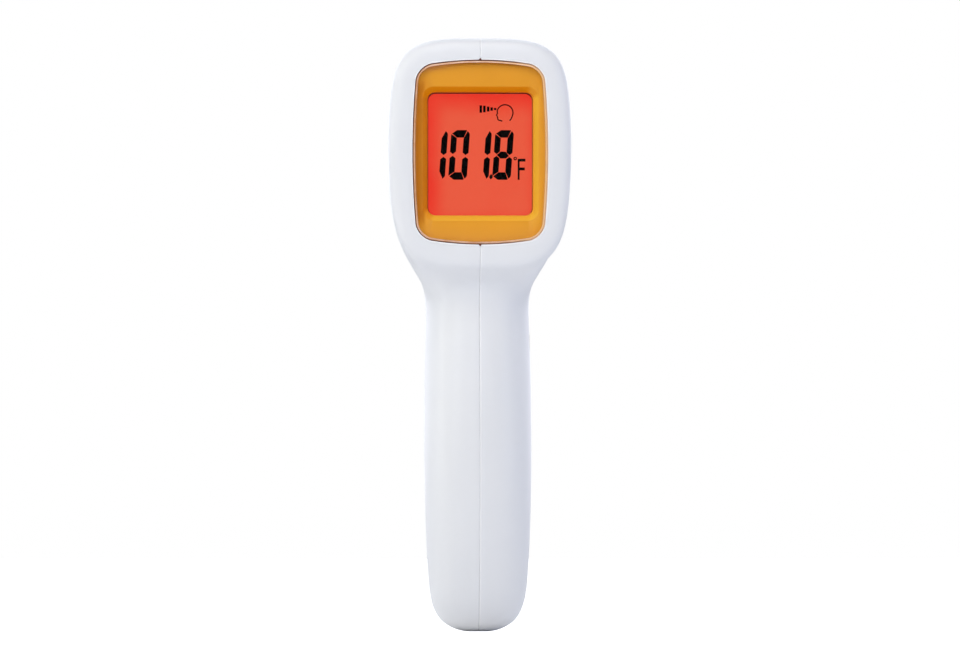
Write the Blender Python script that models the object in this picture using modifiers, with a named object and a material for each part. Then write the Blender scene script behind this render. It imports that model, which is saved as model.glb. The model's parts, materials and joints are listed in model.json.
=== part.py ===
"""A pistol-shaped infrared forehead thermometer, modelled as the separate pieces it is assembled from.

Frame: metres, +Z up. +Y points from the display at the back to the sensor nose at the front, and X
runs across the casing. The origin is under the middle of the object, level with the handle's foot.
The numbers below are in millimetres and every helper turns them into metres.
"""

import math

import bmesh
import bpy
from mathutils import Euler, Vector

MM = 0.001

# Driving dimensions of the casing.
HEAD_HALF_WIDTH = 22.5
HEAD_TOP = 147.0
HEAD_BOTTOM = 89.0
REAR_Y = -43.0
NOSE_TIP_Y = 43.0
CASE_FRONT_Y = 36.0
NOSE_Z = 122.0
WALL = 1.6
FIT_GAP = 0.3
SEAM_HALF_GAP = 0.05

# Driving dimensions of the display.
DISPLAY_Z = 118.6
WINDOW_HALF_WIDTH = 16.6
WINDOW_HALF_HEIGHT = 22.65
WINDOW_CORNER = 3.8
WINDOW_BOW_X = 0.064
WINDOW_BOW_Z = 0.069
LCD_VIEW_HALF_WIDTH = 13.05
LCD_VIEW_HALF_HEIGHT = 15.15
LCD_VIEW_CORNER = 1.9

# Driving dimensions of the moving pieces.
TRIGGER_PIVOT = (-7.5, 88.5)
TRIGGER_HALF_WIDTH = 6.9
DOOR_PIVOT = (-15.0, 12.0)
DOOR_HALF_WIDTH = 8.9
DOOR_TOP = 63.0
BUTTON_Z = 122.0
BUTTON_ROW = (("mode_button", -24.0, 22.25), ("memory_button", -14.0, 21.95), ("unit_button", -4.0, 21.5))

# Two AAA cells stand side by side, leaning forwards with the handle.
CELL_RADIUS = 5.15
CELL_SPACING = 5.3
CELL_LENGTH = 44.5
CELL_LEAN = math.radians(7.0)
CELL_FOOT = (0.0, -22.7, 14.2)

SCREW_PLACES = ((-22.0, 139.4), (18.0, 133.4), (14.0, 108.8), (-23.0, 72.0), (-25.0, 6.4))

# Points round half a section, as angles from its first end to its last, for a round and a square section.
ROUND_ANGLES = (0, 26, 51, 77, 103, 129, 154, 180)
SQUARE_ANGLES = (0, 12, 42, 79, 101, 138, 168, 180)

# Sections of the head: distance along Y, half width, top, bottom and superellipse exponents above and below.
HEAD_STATIONS = (
    *((REAR_Y, HEAD_HALF_WIDTH - inset, HEAD_TOP - inset, HEAD_BOTTOM + inset, 4.3, 3.8) for inset in (11, 6.5, 3.4)),
    (REAR_Y + 0.5, HEAD_HALF_WIDTH - 1.2, HEAD_TOP - 1.2, HEAD_BOTTOM + 1.2, 4.2, 3.7),
    (REAR_Y + 2.3, HEAD_HALF_WIDTH, HEAD_TOP, HEAD_BOTTOM, 4.2, 3.7),
    (-36.0, 22.5, 147.0, 89.0, 4.2, 3.7),
    (-24.0, 22.4, 147.0, 89.8, 4.2, 3.7),
    (-9.0, 21.8, 146.4, 91.4, 4.1, 3.6),
    (7.0, 20.8, 144.9, 95.4, 3.5, 3.2),
    (18.0, 19.6, 142.9, 102.4, 2.9, 2.8),
    (27.0, 18.1, 140.6, 104.2, 2.3, 2.3),
    (33.0, 16.8, NOSE_Z + 16.8, NOSE_Z - 16.8, 2.0, 2.0),
    (CASE_FRONT_Y - 0.4, 15.9, NOSE_Z + 15.9, NOSE_Z - 15.9, 2.0, 2.0),
    (CASE_FRONT_Y, 14.6, NOSE_Z + 14.6, NOSE_Z - 14.6, 2.0, 2.0),
    (CASE_FRONT_Y, 12.0, NOSE_Z + 12.0, NOSE_Z - 12.0, 2.0, 2.0),
)
HANDLE_FROM = 5
HANDLE_TO = 8

# Where the underside of the head turns into the handle, from the back round the side to the front.
NECK_LOOP = (
    (0.0, -37.6, 86.8),
    (8.6, -37.2, 87.1),
    (15.2, -33.6, 89.4),
    (16.8, -22.0, 90.6),
    (16.4, -7.5, 91.6),
    (13.0, 5.6, 95.0),
    (7.2, 8.4, 97.0),
    (0.0, 9.0, 97.6),
)

# Sections of the handle: height at its back and front, the two Y positions, half width and exponent.
HANDLE_STATIONS = (
    (83.6, 91.0, -36.7, 3.2, 13.4, 2.5),
    (79.0, 84.0, -36.7, -0.2, 12.6, 2.5),
    (71.5, 74.0, -37.8, -2.8, 13.0, 2.5),
    (60.0, 61.0, -39.6, -5.4, 13.2, 2.5),
    (45.0, 45.0, -41.0, -8.0, 13.3, 2.5),
    (30.0, 30.0, -40.6, -10.0, 13.1, 2.5),
    (18.0, 18.0, -38.9, -11.8, 12.6, 2.5),
    (10.5, 10.5, -37.0, -13.2, 12.1, 2.5),
    (5.6, 5.6, -35.2, -14.4, 11.2, 2.5),
    (2.2, 2.2, -32.8, -16.4, 8.9, 2.4),
    (0.4, 0.4, -29.6, -19.4, 5.4, 2.2),
    (0.0, 0.0, -27.4, -21.4, 2.6, 2.2),
)


# ---------------------------------------------------------------- scene and materials


def clear_scene():
    for old in list(bpy.data.objects):
        bpy.data.objects.remove(old)
    for old in list(bpy.data.collections):
        bpy.data.collections.remove(old)


def new_collection(name):
    collection = bpy.data.collections.new(name)
    bpy.context.scene.collection.children.link(collection)
    return collection


def new_material(name, colour, roughness, metallic=0.0, alpha=1.0):
    material = bpy.data.materials.new(name)
    material.use_nodes = True
    shader = material.node_tree.nodes["Principled BSDF"]
    shader.inputs["Base Color"].default_value = (*colour, 1.0)
    shader.inputs["Roughness"].default_value = roughness
    shader.inputs["Metallic"].default_value = metallic
    shader.inputs["Alpha"].default_value = alpha
    return material


clear_scene()
PARTS = new_collection("forehead_thermometer")
CUTTERS = new_collection("cutters")

WHITE = new_material("white_plastic", (0.86, 0.86, 0.87), 0.32)
AMBER = new_material("amber_plastic", (0.76, 0.36, 0.03), 0.35)
ORANGE = new_material("orange_plastic", (0.86, 0.33, 0.03), 0.38)
CLEAR = new_material("clear_window", (0.95, 0.95, 0.95), 0.05, alpha=0.25)
LCD = new_material("lcd_glass", (0.85, 0.12, 0.06), 0.25)
FROST = new_material("light_guide", (0.90, 0.88, 0.84), 0.5)
DARK = new_material("black_plastic", (0.03, 0.03, 0.035), 0.4)
GREY = new_material("grey_plastic", (0.30, 0.31, 0.33), 0.45)
STEEL = new_material("bright_steel", (0.72, 0.72, 0.73), 0.25, metallic=1.0)
BRASS = new_material("nickel_brass", (0.75, 0.68, 0.50), 0.3, metallic=1.0)
BOARD = new_material("green_board", (0.02, 0.20, 0.07), 0.45)
SILICON = new_material("silicon_filter", (0.12, 0.12, 0.15), 0.12, metallic=0.4)
RUBBER = new_material("zebra_rubber", (0.10, 0.10, 0.11), 0.7)
CELL = new_material("cell_jacket", (0.10, 0.22, 0.16), 0.3)
RED_WIRE = new_material("red_wire", (0.60, 0.03, 0.02), 0.45)
BLACK_WIRE = new_material("black_wire", (0.02, 0.02, 0.02), 0.45)


# ---------------------------------------------------------------- making objects


def place(obj, material=None, cutter=False):
    """Puts an object in its collection: the parts, or the hidden cutters."""
    if cutter:
        CUTTERS.objects.link(obj)
        obj.hide_render = True
        obj.display_type = "WIRE"
    else:
        PARTS.objects.link(obj)
    if material:
        obj.data.materials.append(material)
    return obj


def from_bmesh(name, shape, material=None, cutter=False, smooth=False):
    mesh = bpy.data.meshes.new(name)
    shape.to_mesh(mesh)
    shape.free()
    if smooth:
        mesh.shade_smooth()
        mesh.set_sharp_from_angle(angle=math.radians(35))
    return place(bpy.data.objects.new(name, mesh), material, cutter)


def evaluated_mesh(obj, name):
    """The object's mesh with its modifiers applied, welded, in world space."""
    graph = bpy.context.evaluated_depsgraph_get()
    mesh = bpy.data.meshes.new_from_object(obj.evaluated_get(graph), depsgraph=graph)
    mesh.name = name
    mesh.transform(obj.matrix_world)
    shape = bmesh.new()
    shape.from_mesh(mesh)
    bmesh.ops.remove_doubles(shape, verts=shape.verts, dist=0.00001)
    bmesh.ops.recalc_face_normals(shape, faces=shape.faces)
    shape.to_mesh(mesh)
    shape.free()
    return mesh


def box(name, low, high, material=None, cutter=False, round_edges=0.0):
    """A box between two corners."""
    low, high = Vector(low) * MM, Vector(high) * MM
    shape = bmesh.new()
    bmesh.ops.create_cube(shape, size=1.0)
    bmesh.ops.scale(shape, vec=high - low, verts=shape.verts)
    obj = from_bmesh(name, shape, material, cutter)
    obj.location = (low + high) / 2
    if round_edges:
        bevel = obj.modifiers.new("round_edges", "BEVEL")
        bevel.width = round_edges * MM
        bevel.segments = 2
        bevel.limit_method = "ANGLE"
    return obj


def rod(name, radius, start, end, material=None, cutter=False, sides=16):
    """A round rod from start to end."""
    start, end = Vector(start) * MM, Vector(end) * MM
    shape = bmesh.new()
    bmesh.ops.create_cone(
        shape,
        cap_ends=True,
        segments=sides,
        radius1=radius * MM,
        radius2=radius * MM,
        depth=(end - start).length,
    )
    obj = from_bmesh(name, shape, material, cutter, smooth=True)
    obj.location = (start + end) / 2
    obj.rotation_mode = "QUATERNION"
    obj.rotation_quaternion = (end - start).to_track_quat("Z", "Y")
    return obj


def turned(name, profile, origin, along, material=None, cutter=False, steps=24):
    """A turned piece. The profile lists (radius, distance from origin) round its half section."""
    area = sum(r0 * h1 - r1 * h0 for (r0, h0), (r1, h1) in zip(profile, profile[1:] + profile[:1]))
    points = profile[::-1] if area > 0 else profile
    touches_axis = any(radius == 0 for radius, _ in profile)
    shape = bmesh.new()
    verts = [shape.verts.new((radius * MM, 0, height * MM)) for radius, height in points]
    if touches_axis:
        first = next(i for i, v in enumerate(verts) if v.co.x == 0 and verts[i - 1].co.x == 0)
        verts = verts[first:] + verts[:first]
        pairs = zip(verts, verts[1:])
    else:
        pairs = zip(verts, verts[1:] + verts[:1])
    for one, other in pairs:
        shape.edges.new((one, other))
    obj = from_bmesh(name, shape, material, cutter)
    screw = obj.modifiers.new("turn", "SCREW")
    screw.steps = steps
    screw.render_steps = steps
    screw.use_merge_vertices = True
    screw.merge_threshold = 0.00001
    screw.use_smooth_shade = True
    obj.location = Vector(origin) * MM
    obj.rotation_mode = "QUATERNION"
    obj.rotation_quaternion = Vector(along).to_track_quat("Z", "Y")
    return obj


def tube(name, points, radius, material, resolution=2):
    """A wire or a rail of round section along a list of points."""
    curve = bpy.data.curves.new(name, "CURVE")
    curve.dimensions = "3D"
    spline = curve.splines.new("POLY")
    spline.points.add(len(points) - 1)
    for target, point in zip(spline.points, points):
        target.co = (*(Vector(point) * MM), 1.0)
    curve.bevel_depth = radius * MM
    curve.bevel_resolution = resolution
    curve.use_fill_caps = True
    return place(bpy.data.objects.new(name, curve), material)


def through(points, steps):
    """A smooth line through the points, by Catmull-Rom."""
    points = [Vector(p) for p in points]
    padded = [2 * points[0] - points[1], *points, 2 * points[-1] - points[-2]]
    line = []
    for before, start, end, after in zip(padded, padded[1:], padded[2:], padded[3:]):
        for step in range(steps):
            t = step / steps
            line.append(
                0.5
                * (
                    2 * start
                    + (end - before) * t
                    + (2 * before - 5 * start + 4 * end - after) * t**2
                    + (3 * start - before - 3 * end + after) * t**3
                )
            )
    return [*line, points[-1]]


def coil(start, axis, length, radius_low, radius_high, turns, points_a_turn=10):
    """Points of a helix that starts at start and runs along axis, with its radius changing evenly."""
    turn_to = Vector(axis).to_track_quat("Z", "Y")
    count = int(turns * points_a_turn)
    line = []
    for i in range(count + 1):
        share = i / count
        angle = 2 * math.pi * turns * share
        radius = radius_low + (radius_high - radius_low) * share
        local = Vector((radius * math.cos(angle), radius * math.sin(angle), length * share))
        line.append(Vector(start) + turn_to @ local)
    return line


def plate(name, outline, plane, low, high, material=None, cutter=False):
    """A flat outline given thickness. plane XZ runs it from Y=low to Y=high, plane YZ from X=low to X=high."""
    curve = bpy.data.curves.new(name, "CURVE")
    curve.dimensions = "2D"
    curve.fill_mode = "BOTH"
    curve.extrude = (high - low) / 2 * MM
    spline = curve.splines.new("POLY")
    spline.points.add(len(outline) - 1)
    for target, (across, up) in zip(spline.points, outline):
        target.co = (across * MM, up * MM, 0, 1)
    spline.use_cyclic_u = True
    flat = bpy.data.objects.new(name, curve)
    bpy.context.scene.collection.objects.link(flat)
    middle = (low + high) / 2 * MM
    if plane == "XZ":
        flat.rotation_euler = Euler((math.pi / 2, 0, 0))
        flat.location = (0, middle, 0)
    else:
        flat.rotation_euler = Euler((math.pi / 2, 0, math.pi / 2))
        flat.location = (middle, 0, 0)
    bpy.context.view_layer.update()
    mesh = evaluated_mesh(flat, name)
    bpy.data.objects.remove(flat)
    return place(bpy.data.objects.new(name, mesh), material, cutter)


def loft(name, sections, material=None, cutter=False):
    """A solid between sections that have the same number of points, with flat ends."""
    shape = bmesh.new()
    rings = [[shape.verts.new(Vector(p) * MM) for p in section] for section in sections]
    for ring, following in zip(rings, rings[1:]):
        for i in range(len(ring)):
            j = (i + 1) % len(ring)
            shape.faces.new((ring[i], ring[j], following[j], following[i]))
    shape.faces.new(rings[0])
    shape.faces.new(rings[-1])
    bmesh.ops.recalc_face_normals(shape, faces=shape.faces)
    return from_bmesh(name, shape, material, cutter)


def combine(target, other, operation="DIFFERENCE"):
    """Cuts other from target, or joins or crosses them, and hides other."""
    modifier = target.modifiers.new(f"{operation.lower()}_{other.name}", "BOOLEAN")
    modifier.operation = operation
    modifier.object = other
    modifier.solver = "EXACT"
    return target


def window_outline(half_width, half_height, corner, bow_x, bow_z, arc_steps=4, side_steps=3):
    """A rounded rectangle whose sides bow outwards, as (x, z) about the display's centre."""
    corners = (
        (half_width - corner, half_height - corner, 0),
        (corner - half_width, half_height - corner, 90),
        (corner - half_width, corner - half_height, 180),
        (half_width - corner, corner - half_height, 270),
    )
    flat = []
    for x, z, start in corners:
        for step in range(arc_steps + 1):
            angle = math.radians(start + 90 * step / arc_steps)
            flat.append((x + corner * math.cos(angle), z + corner * math.sin(angle)))
    outline = []
    for i, (x, z) in enumerate(flat):
        outline.append((x, z))
        if i % (arc_steps + 1) == arc_steps:
            next_x, next_z = flat[(i + 1) % len(flat)]
            for step in range(1, side_steps):
                share = step / side_steps
                outline.append((x + (next_x - x) * share, z + (next_z - z) * share))
    return [
        (x * (1 - bow_x * (z / half_height) ** 2), DISPLAY_Z + z * (1 - bow_z * (x / half_width) ** 2))
        for x, z in outline
    ]


# ---------------------------------------------------------------- the casing's form


def superellipse(angle, exponent):
    """How far across and along a point of a unit superellipse lies, at this angle from its first end."""
    across = abs(math.sin(angle)) ** (2 / exponent)
    along = math.copysign(abs(math.cos(angle)) ** (2 / exponent), math.cos(angle))
    return across, along


def half_section(first_exponent, last_exponent):
    """Eight (across, along) points round half a section, both ends on the casing's middle plane."""
    points = []
    for round_angle, square_angle in zip(ROUND_ANGLES, SQUARE_ANGLES):
        exponent = first_exponent if round_angle < 90 else last_exponent
        angle = round_angle + (square_angle - round_angle) * (exponent - 2) / 2
        across, along = superellipse(math.radians(angle), exponent)
        on_middle = round_angle in (0, 180)
        points.append((0.0 if on_middle else across, along))
    return points


def control_ring(wanted):
    """Moves a ring's points outwards until a smooth curve drawn from them passes through the wanted points."""
    points = [point.copy() for point in wanted]
    for _ in range(12):
        before = points[1] * Vector((-1, 1, 1)) if wanted[0].x == 0 else points[0]
        after = points[-2] * Vector((-1, 1, 1)) if wanted[-1].x == 0 else points[-1]
        line = [before, *points, after]
        points = [
            point + goal - (low + 4 * point + high) / 6
            for low, point, high, goal in zip(line, line[1:], line[2:], wanted)
        ]
    return points


def head_ring(y, half_width, top, bottom, upper_exponent, lower_exponent):
    middle, half_height = (top + bottom) / 2, (top - bottom) / 2
    section = half_section(upper_exponent, lower_exponent)
    return control_ring([Vector((half_width * across, y, middle + half_height * up)) for across, up in section])


def handle_ring(back_z, front_z, back_y, front_y, half_width, exponent):
    middle, half_depth = (back_y + front_y) / 2, (front_y - back_y) / 2
    ring = []
    for across, back in half_section(exponent, exponent):
        z = front_z + (back_z - front_z) * (1 + back) / 2
        ring.append(Vector((half_width * across, middle - half_depth * back, z)))
    return control_ring(ring)


def cap_faces(ring):
    """Three faces that close half a section of eight points."""
    return [(ring[i], ring[i + 1], ring[6 - i], ring[7 - i]) for i in range(3)]


def casing_cage():
    """Control points of the right half of the casing, and the coarse faces between them."""
    rings = [head_ring(*station) for station in HEAD_STATIONS]
    columns = len(ROUND_ANGLES)
    neck_places = [(HANDLE_FROM, column) for column in (7, 6, 5)]
    neck_places += [(station, 5) for station in range(HANDLE_FROM + 1, HANDLE_TO)]
    neck_places += [(HANDLE_TO, column) for column in (5, 6, 7)]
    for (station, column), point in zip(neck_places, NECK_LOOP):
        rings[station][column] = Vector(point)
    points, index = [], {}
    for station, ring in enumerate(rings):
        for column, point in enumerate(ring):
            over_handle = HANDLE_FROM < station < HANDLE_TO and column > 5
            if not over_handle:
                index[station, column] = len(points)
                points.append(point)
    faces = []
    for station in range(len(rings) - 1):
        for column in range(columns - 1):
            over_handle = HANDLE_FROM <= station < HANDLE_TO and column >= 5
            if not over_handle:
                corners = ((station, column), (station, column + 1), (station + 1, column + 1), (station + 1, column))
                faces.append([index[corner] for corner in corners])
    for station in (0, len(rings) - 1):
        faces.extend(cap_faces([index[station, column] for column in range(columns)]))
    above = [index[place_] for place_ in neck_places]
    for station in HANDLE_STATIONS:
        ring = handle_ring(*station)
        below = list(range(len(points), len(points) + len(ring)))
        points.extend(ring)
        faces.extend(zip(above, above[1:], below[1:], below))
        above = below
    faces.extend(cap_faces(above))
    return points, faces


def casing_form(levels):
    """The casing's outer form as one closed mesh: a coarse cage, mirrored and subdivided."""
    points, faces = casing_cage()
    shape = bmesh.new()
    verts = [shape.verts.new(point * MM) for point in points]
    for face in faces:
        shape.faces.new([verts[i] for i in face])
    bmesh.ops.recalc_face_normals(shape, faces=shape.faces)
    cage = from_bmesh("casing_cage", shape, cutter=True)
    mirror = cage.modifiers.new("mirror", "MIRROR")
    mirror.use_clip = True
    mirror.merge_threshold = 0.00001
    subdivide = cage.modifiers.new("subdivide", "SUBSURF")
    subdivide.levels = levels
    subdivide.render_levels = levels
    bpy.context.view_layer.update()
    mesh = evaluated_mesh(cage, "casing_form")
    bpy.data.objects.remove(cage)
    return mesh


def inner_form(outer):
    """The casing's outer form moved inwards by the wall."""
    helper = place(bpy.data.objects.new("inner_form", outer.copy()), cutter=True)
    inwards = helper.modifiers.new("inwards", "DISPLACE")
    inwards.strength = -WALL * MM
    inwards.mid_level = 0.0
    bpy.context.view_layer.update()
    mesh = evaluated_mesh(helper, "inner_form_mesh")
    bpy.data.objects.remove(helper)
    return mesh


# ---------------------------------------------------------------- the two halves of the casing


def display_opening():
    outline = window_outline(
        WINDOW_HALF_WIDTH + 0.25,
        WINDOW_HALF_HEIGHT + 0.25,
        WINDOW_CORNER,
        WINDOW_BOW_X,
        WINDOW_BOW_Z,
    )
    return plate("display_opening", outline, "XZ", REAR_Y - 5, REAR_Y + WALL + 0.4, cutter=True)


def door_opening(half_width, bottom, top, name):
    return box(name, (-half_width, -20.0, bottom), (half_width, 2.0, top), cutter=True)


def build_casing(outer, inner):
    """The left and right half shells, with their screw bosses and openings."""
    pivot_y, pivot_z = TRIGGER_PIVOT
    door_z = DOOR_PIVOT[1]
    cavity = place(bpy.data.objects.new("cavity", inner.copy()), cutter=True)
    for number, (y, z) in enumerate(SCREW_PLACES, 1):
        radius = 2.4 if number == len(SCREW_PLACES) else 3.0
        combine(cavity, rod(f"boss_{number}", radius, (-30, y, z), (30, y, z), cutter=True, sides=12))
    for side in (-1, 1):
        inside, outside = (side * (TRIGGER_HALF_WIDTH + 0.5), pivot_y, pivot_z), (side * 20, pivot_y, pivot_z)
        combine(cavity, rod(f"pivot_boss_{side}", 2.3, inside, outside, cutter=True, sides=12))
    openings = [
        cavity,
        display_opening(),
        rod("nose_opening", 13.5, (0, 30, NOSE_Z), (0, 45, NOSE_Z), cutter=True, sides=24),
        box("trigger_opening", (-7.3, -8.0, 66.9), (7.3, 12.0, 91.4), cutter=True),
        door_opening(DOOR_HALF_WIDTH + FIT_GAP, door_z - 3.0, DOOR_TOP + FIT_GAP, "door_opening"),
        rod("pivot_hole", 1.05, (-9.7, pivot_y, pivot_z), (9.7, pivot_y, pivot_z), cutter=True, sides=12),
    ]
    for name, y, _ in BUTTON_ROW:
        openings.append(rod(f"{name}_hole", 3.55, (-30, y, BUTTON_Z), (-10, y, BUTTON_Z), cutter=True, sides=20))
    for number, (y, z) in enumerate(SCREW_PLACES, 1):
        openings.append(rod(f"shank_hole_{number}", 1.15, (-5.6, y, z), (12, y, z), cutter=True, sides=12))
        openings.append(rod(f"head_hole_{number}", 2.2, (5.8, y, z), (40, y, z), cutter=True, sides=16))
    for name, side in (("left_case", -1), ("right_case", 1)):
        half = place(bpy.data.objects.new(name, outer.copy()), WHITE)
        half.data.shade_smooth()
        half.data.set_sharp_from_angle(angle=math.radians(35))
        near, far = side * SEAM_HALF_GAP, side * 60
        low, high = (min(near, far), -80, -20), (max(near, far), 80, 200)
        combine(half, box(f"{name}_side", low, high, cutter=True), "INTERSECT")
        for opening in openings:
            combine(half, opening)


# ---------------------------------------------------------------- the display


def build_display():
    window = window_outline(
        WINDOW_HALF_WIDTH, WINDOW_HALF_HEIGHT, WINDOW_CORNER, WINDOW_BOW_X, WINDOW_BOW_Z
    )
    plate("display_window", window, "XZ", REAR_Y + 0.15, REAR_Y + 1.5, CLEAR)

    flange = window_outline(
        WINDOW_HALF_WIDTH + 1.2, WINDOW_HALF_HEIGHT + 0.9, WINDOW_CORNER + 1.2, WINDOW_BOW_X, WINDOW_BOW_Z
    )
    front, back = REAR_Y + 1.9, REAR_Y + 5.4
    bezel = plate("display_bezel", flange, "XZ", front, back, AMBER)
    mouth = window_outline(
        WINDOW_HALF_WIDTH - 0.7, WINDOW_HALF_HEIGHT - 0.7, WINDOW_CORNER - 0.5, WINDOW_BOW_X, WINDOW_BOW_Z
    )
    step = window_outline(LCD_VIEW_HALF_WIDTH + 0.5, LCD_VIEW_HALF_HEIGHT + 0.5, LCD_VIEW_CORNER + 0.3, 0, 0)
    view = window_outline(LCD_VIEW_HALF_WIDTH, LCD_VIEW_HALF_HEIGHT, LCD_VIEW_CORNER, 0, 0)
    levels = ((mouth, front - 1.0), (mouth, front), (step, back - 1.4), (view, back - 1.2), (view, back + 1.0))
    funnel = loft("bezel_funnel", [[(x, y, z) for x, z in outline] for outline, y in levels], cutter=True)
    combine(bezel, funnel)

    lcd_front = back + FIT_GAP
    box("lcd_panel", (-15.4, lcd_front, 100.4), (15.4, lcd_front + 2.0, 136.6), LCD)
    behind_lcd = lcd_front + 2.0 + FIT_GAP
    board_front = behind_lcd + 3.1 + FIT_GAP
    box("backlight_guide", (-15.0, behind_lcd, 104.6), (15.0, behind_lcd + 3.1, 136.4), FROST)
    box("zebra_strip", (-14.0, behind_lcd, 101.2), (14.0, behind_lcd + 3.1, 103.8), RUBBER)

    board_back = board_front + 1.6
    box("main_board", (-16.4, board_front, 98.6), (16.4, board_back, 139.4), BOARD)
    parts_from = board_back + FIT_GAP
    box("controller_chip", (-9.5, parts_from, 122.0), (-2.5, parts_from + 1.3, 129.0), DARK)
    box("power_connector", (3.0, parts_from, 99.6), (9.6, parts_from + 3.6, 103.6), FROST)
    box("sensor_connector", (-10.0, parts_from, 103.0), (-3.4, parts_from + 3.6, 107.0), FROST)
    turned(
        "buzzer",
        [(0, 0), (6.2, 0), (6.2, 3.4), (1.2, 3.4), (1.2, 2.4), (0, 2.4)],
        (7.2, parts_from, 127.5),
        (0, 1, 0),
        DARK,
        steps=20,
    )
    return parts_from


# ---------------------------------------------------------------- the sensor in the nose


def build_nose():
    centre = (0, 0, NOSE_Z)
    forwards = (0, 1, 0)
    turned(
        "nose_ring",
        [(13.7, 36.3), (15.7, 36.3), (15.7, 38.4), (15.1, 39.2), (13.7, 39.2)],
        centre,
        forwards,
        ORANGE,
        steps=32,
    )
    turned(
        "nose_cone",
        [
            (6.5, 29.6),
            (9.5, 29.6),
            (9.5, 31.0),
            (14.2, 31.0),
            (14.2, 33.4),
            (13.2, 33.4),
            (13.2, 42.0),
            (12.4, NOSE_TIP_Y),
            (10.8, NOSE_TIP_Y),
            (10.2, 42.4),
            (4.9, 35.2),
            (4.9, 33.6),
            (6.5, 33.6),
        ],
        centre,
        forwards,
        WHITE,
        steps=32,
    )
    turned(
        "sensor_sleeve",
        [(4.9, 22.0), (6.1, 22.0), (6.1, 33.2), (4.9, 33.2)],
        centre,
        forwards,
        BRASS,
        steps=24,
    )
    turned(
        "thermopile_can",
        [(0, 27.6), (4.55, 27.6), (4.55, 28.4), (4.1, 28.4), (4.1, 33.9), (2.9, 33.9), (2.9, 33.3), (0, 33.3)],
        centre,
        forwards,
        STEEL,
        steps=24,
    )
    rod("thermopile_filter", 2.6, (0, 33.6, NOSE_Z), (0, 33.9, NOSE_Z), SILICON, sides=20)
    box("sensor_board", (-6.4, 20.5, NOSE_Z - 6.4), (6.4, 21.7, NOSE_Z + 6.4), BOARD)


# ---------------------------------------------------------------- buttons on the left side


def build_buttons():
    board_x = -14.0
    box("button_board", (board_x - 1.0, -29.2, 114.5), (board_x, 1.6, 129.5), BOARD)
    for name, y, surface in BUTTON_ROW:
        kind = name.removesuffix("_button")
        face = surface - 0.2
        flange = surface - WALL - 0.9
        middle = (0, y, BUTTON_Z)
        leftwards = (-1, 0, 0)
        turned(
            name,
            [
                (0, flange - 0.8),
                (4.2, flange - 0.8),
                (4.2, flange),
                (3.25, flange),
                (3.25, face - 0.5),
                (2.8, face),
                (0, face),
            ],
            middle,
            leftwards,
            GREY,
            steps=20,
        )
        low = (1.8 - flange, y - 2.5, BUTTON_Z - 2.5)
        high = (board_x - 1.3, y + 2.5, BUTTON_Z + 2.5)
        switch = box(f"{kind}_switch", low, high, DARK)
        well_floor, plunger_end, plunger_tip = 3.2 - flange, 2.4 - flange, 1.1 - flange
        well = rod(f"{kind}_well", 1.5, (-21, y, BUTTON_Z), (well_floor, y, BUTTON_Z), cutter=True, sides=12)
        combine(switch, well)
        rod(f"{kind}_plunger", 1.2, (plunger_tip, y, BUTTON_Z), (plunger_end, y, BUTTON_Z), STEEL, sides=12)


# ---------------------------------------------------------------- the trigger


def trigger_outline():
    """The trigger's side view, as (y, z): finger face, foot, back and the arm round its pivot."""
    finger = through(
        [(1.5, 90.8, 0), (3.9, 88.4, 0), (4.5, 84.5, 0), (3.3, 79.2, 0), (3.1, 74.8, 0), (4.4, 70.8, 0)]
        + [(4.4, 68.8, 0), (2.8, 67.9, 0)],
        3,
    )
    pivot_y, pivot_z = TRIGGER_PIVOT
    arm = []
    for step in range(7):
        angle = math.radians(270 - 180 * step / 6)
        arm.append((pivot_y + 2.4 * math.cos(angle), pivot_z + 2.4 * math.sin(angle)))
    return [(p.x, p.y) for p in finger] + [(-4.9, 67.9), (-5.5, 84.6)] + arm


def build_trigger():
    y, z = TRIGGER_PIVOT
    half = TRIGGER_HALF_WIDTH
    trigger = plate("trigger", trigger_outline(), "YZ", -half, half, ORANGE)
    combine(trigger, rod("trigger_pin_hole", 1.15, (-12, y, z), (12, y, z), cutter=True, sides=16))
    rod("trigger_pin", 0.8, (-9.3, y, z), (9.3, y, z), STEEL, sides=12)

    box("trigger_board", (-6.0, -14.4, 71.0), (6.0, -13.2, 85.2), BOARD)
    switch = box("trigger_switch", (-3.0, -12.9, 78.5), (3.0, -8.9, 84.5), DARK)
    combine(switch, rod("trigger_well", 2.0, (0, -10.6, 81.5), (0, -6, 81.5), cutter=True, sides=16))
    rod("trigger_plunger", 1.3, (0, -9.8, 81.5), (0, -5.8, 81.5), GREY, sides=16)


# ---------------------------------------------------------------- the battery bay


def lean(obj, pivot):
    """Parents an object to the leaning empty that carries the battery bay."""
    obj.parent = pivot
    return obj


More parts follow.
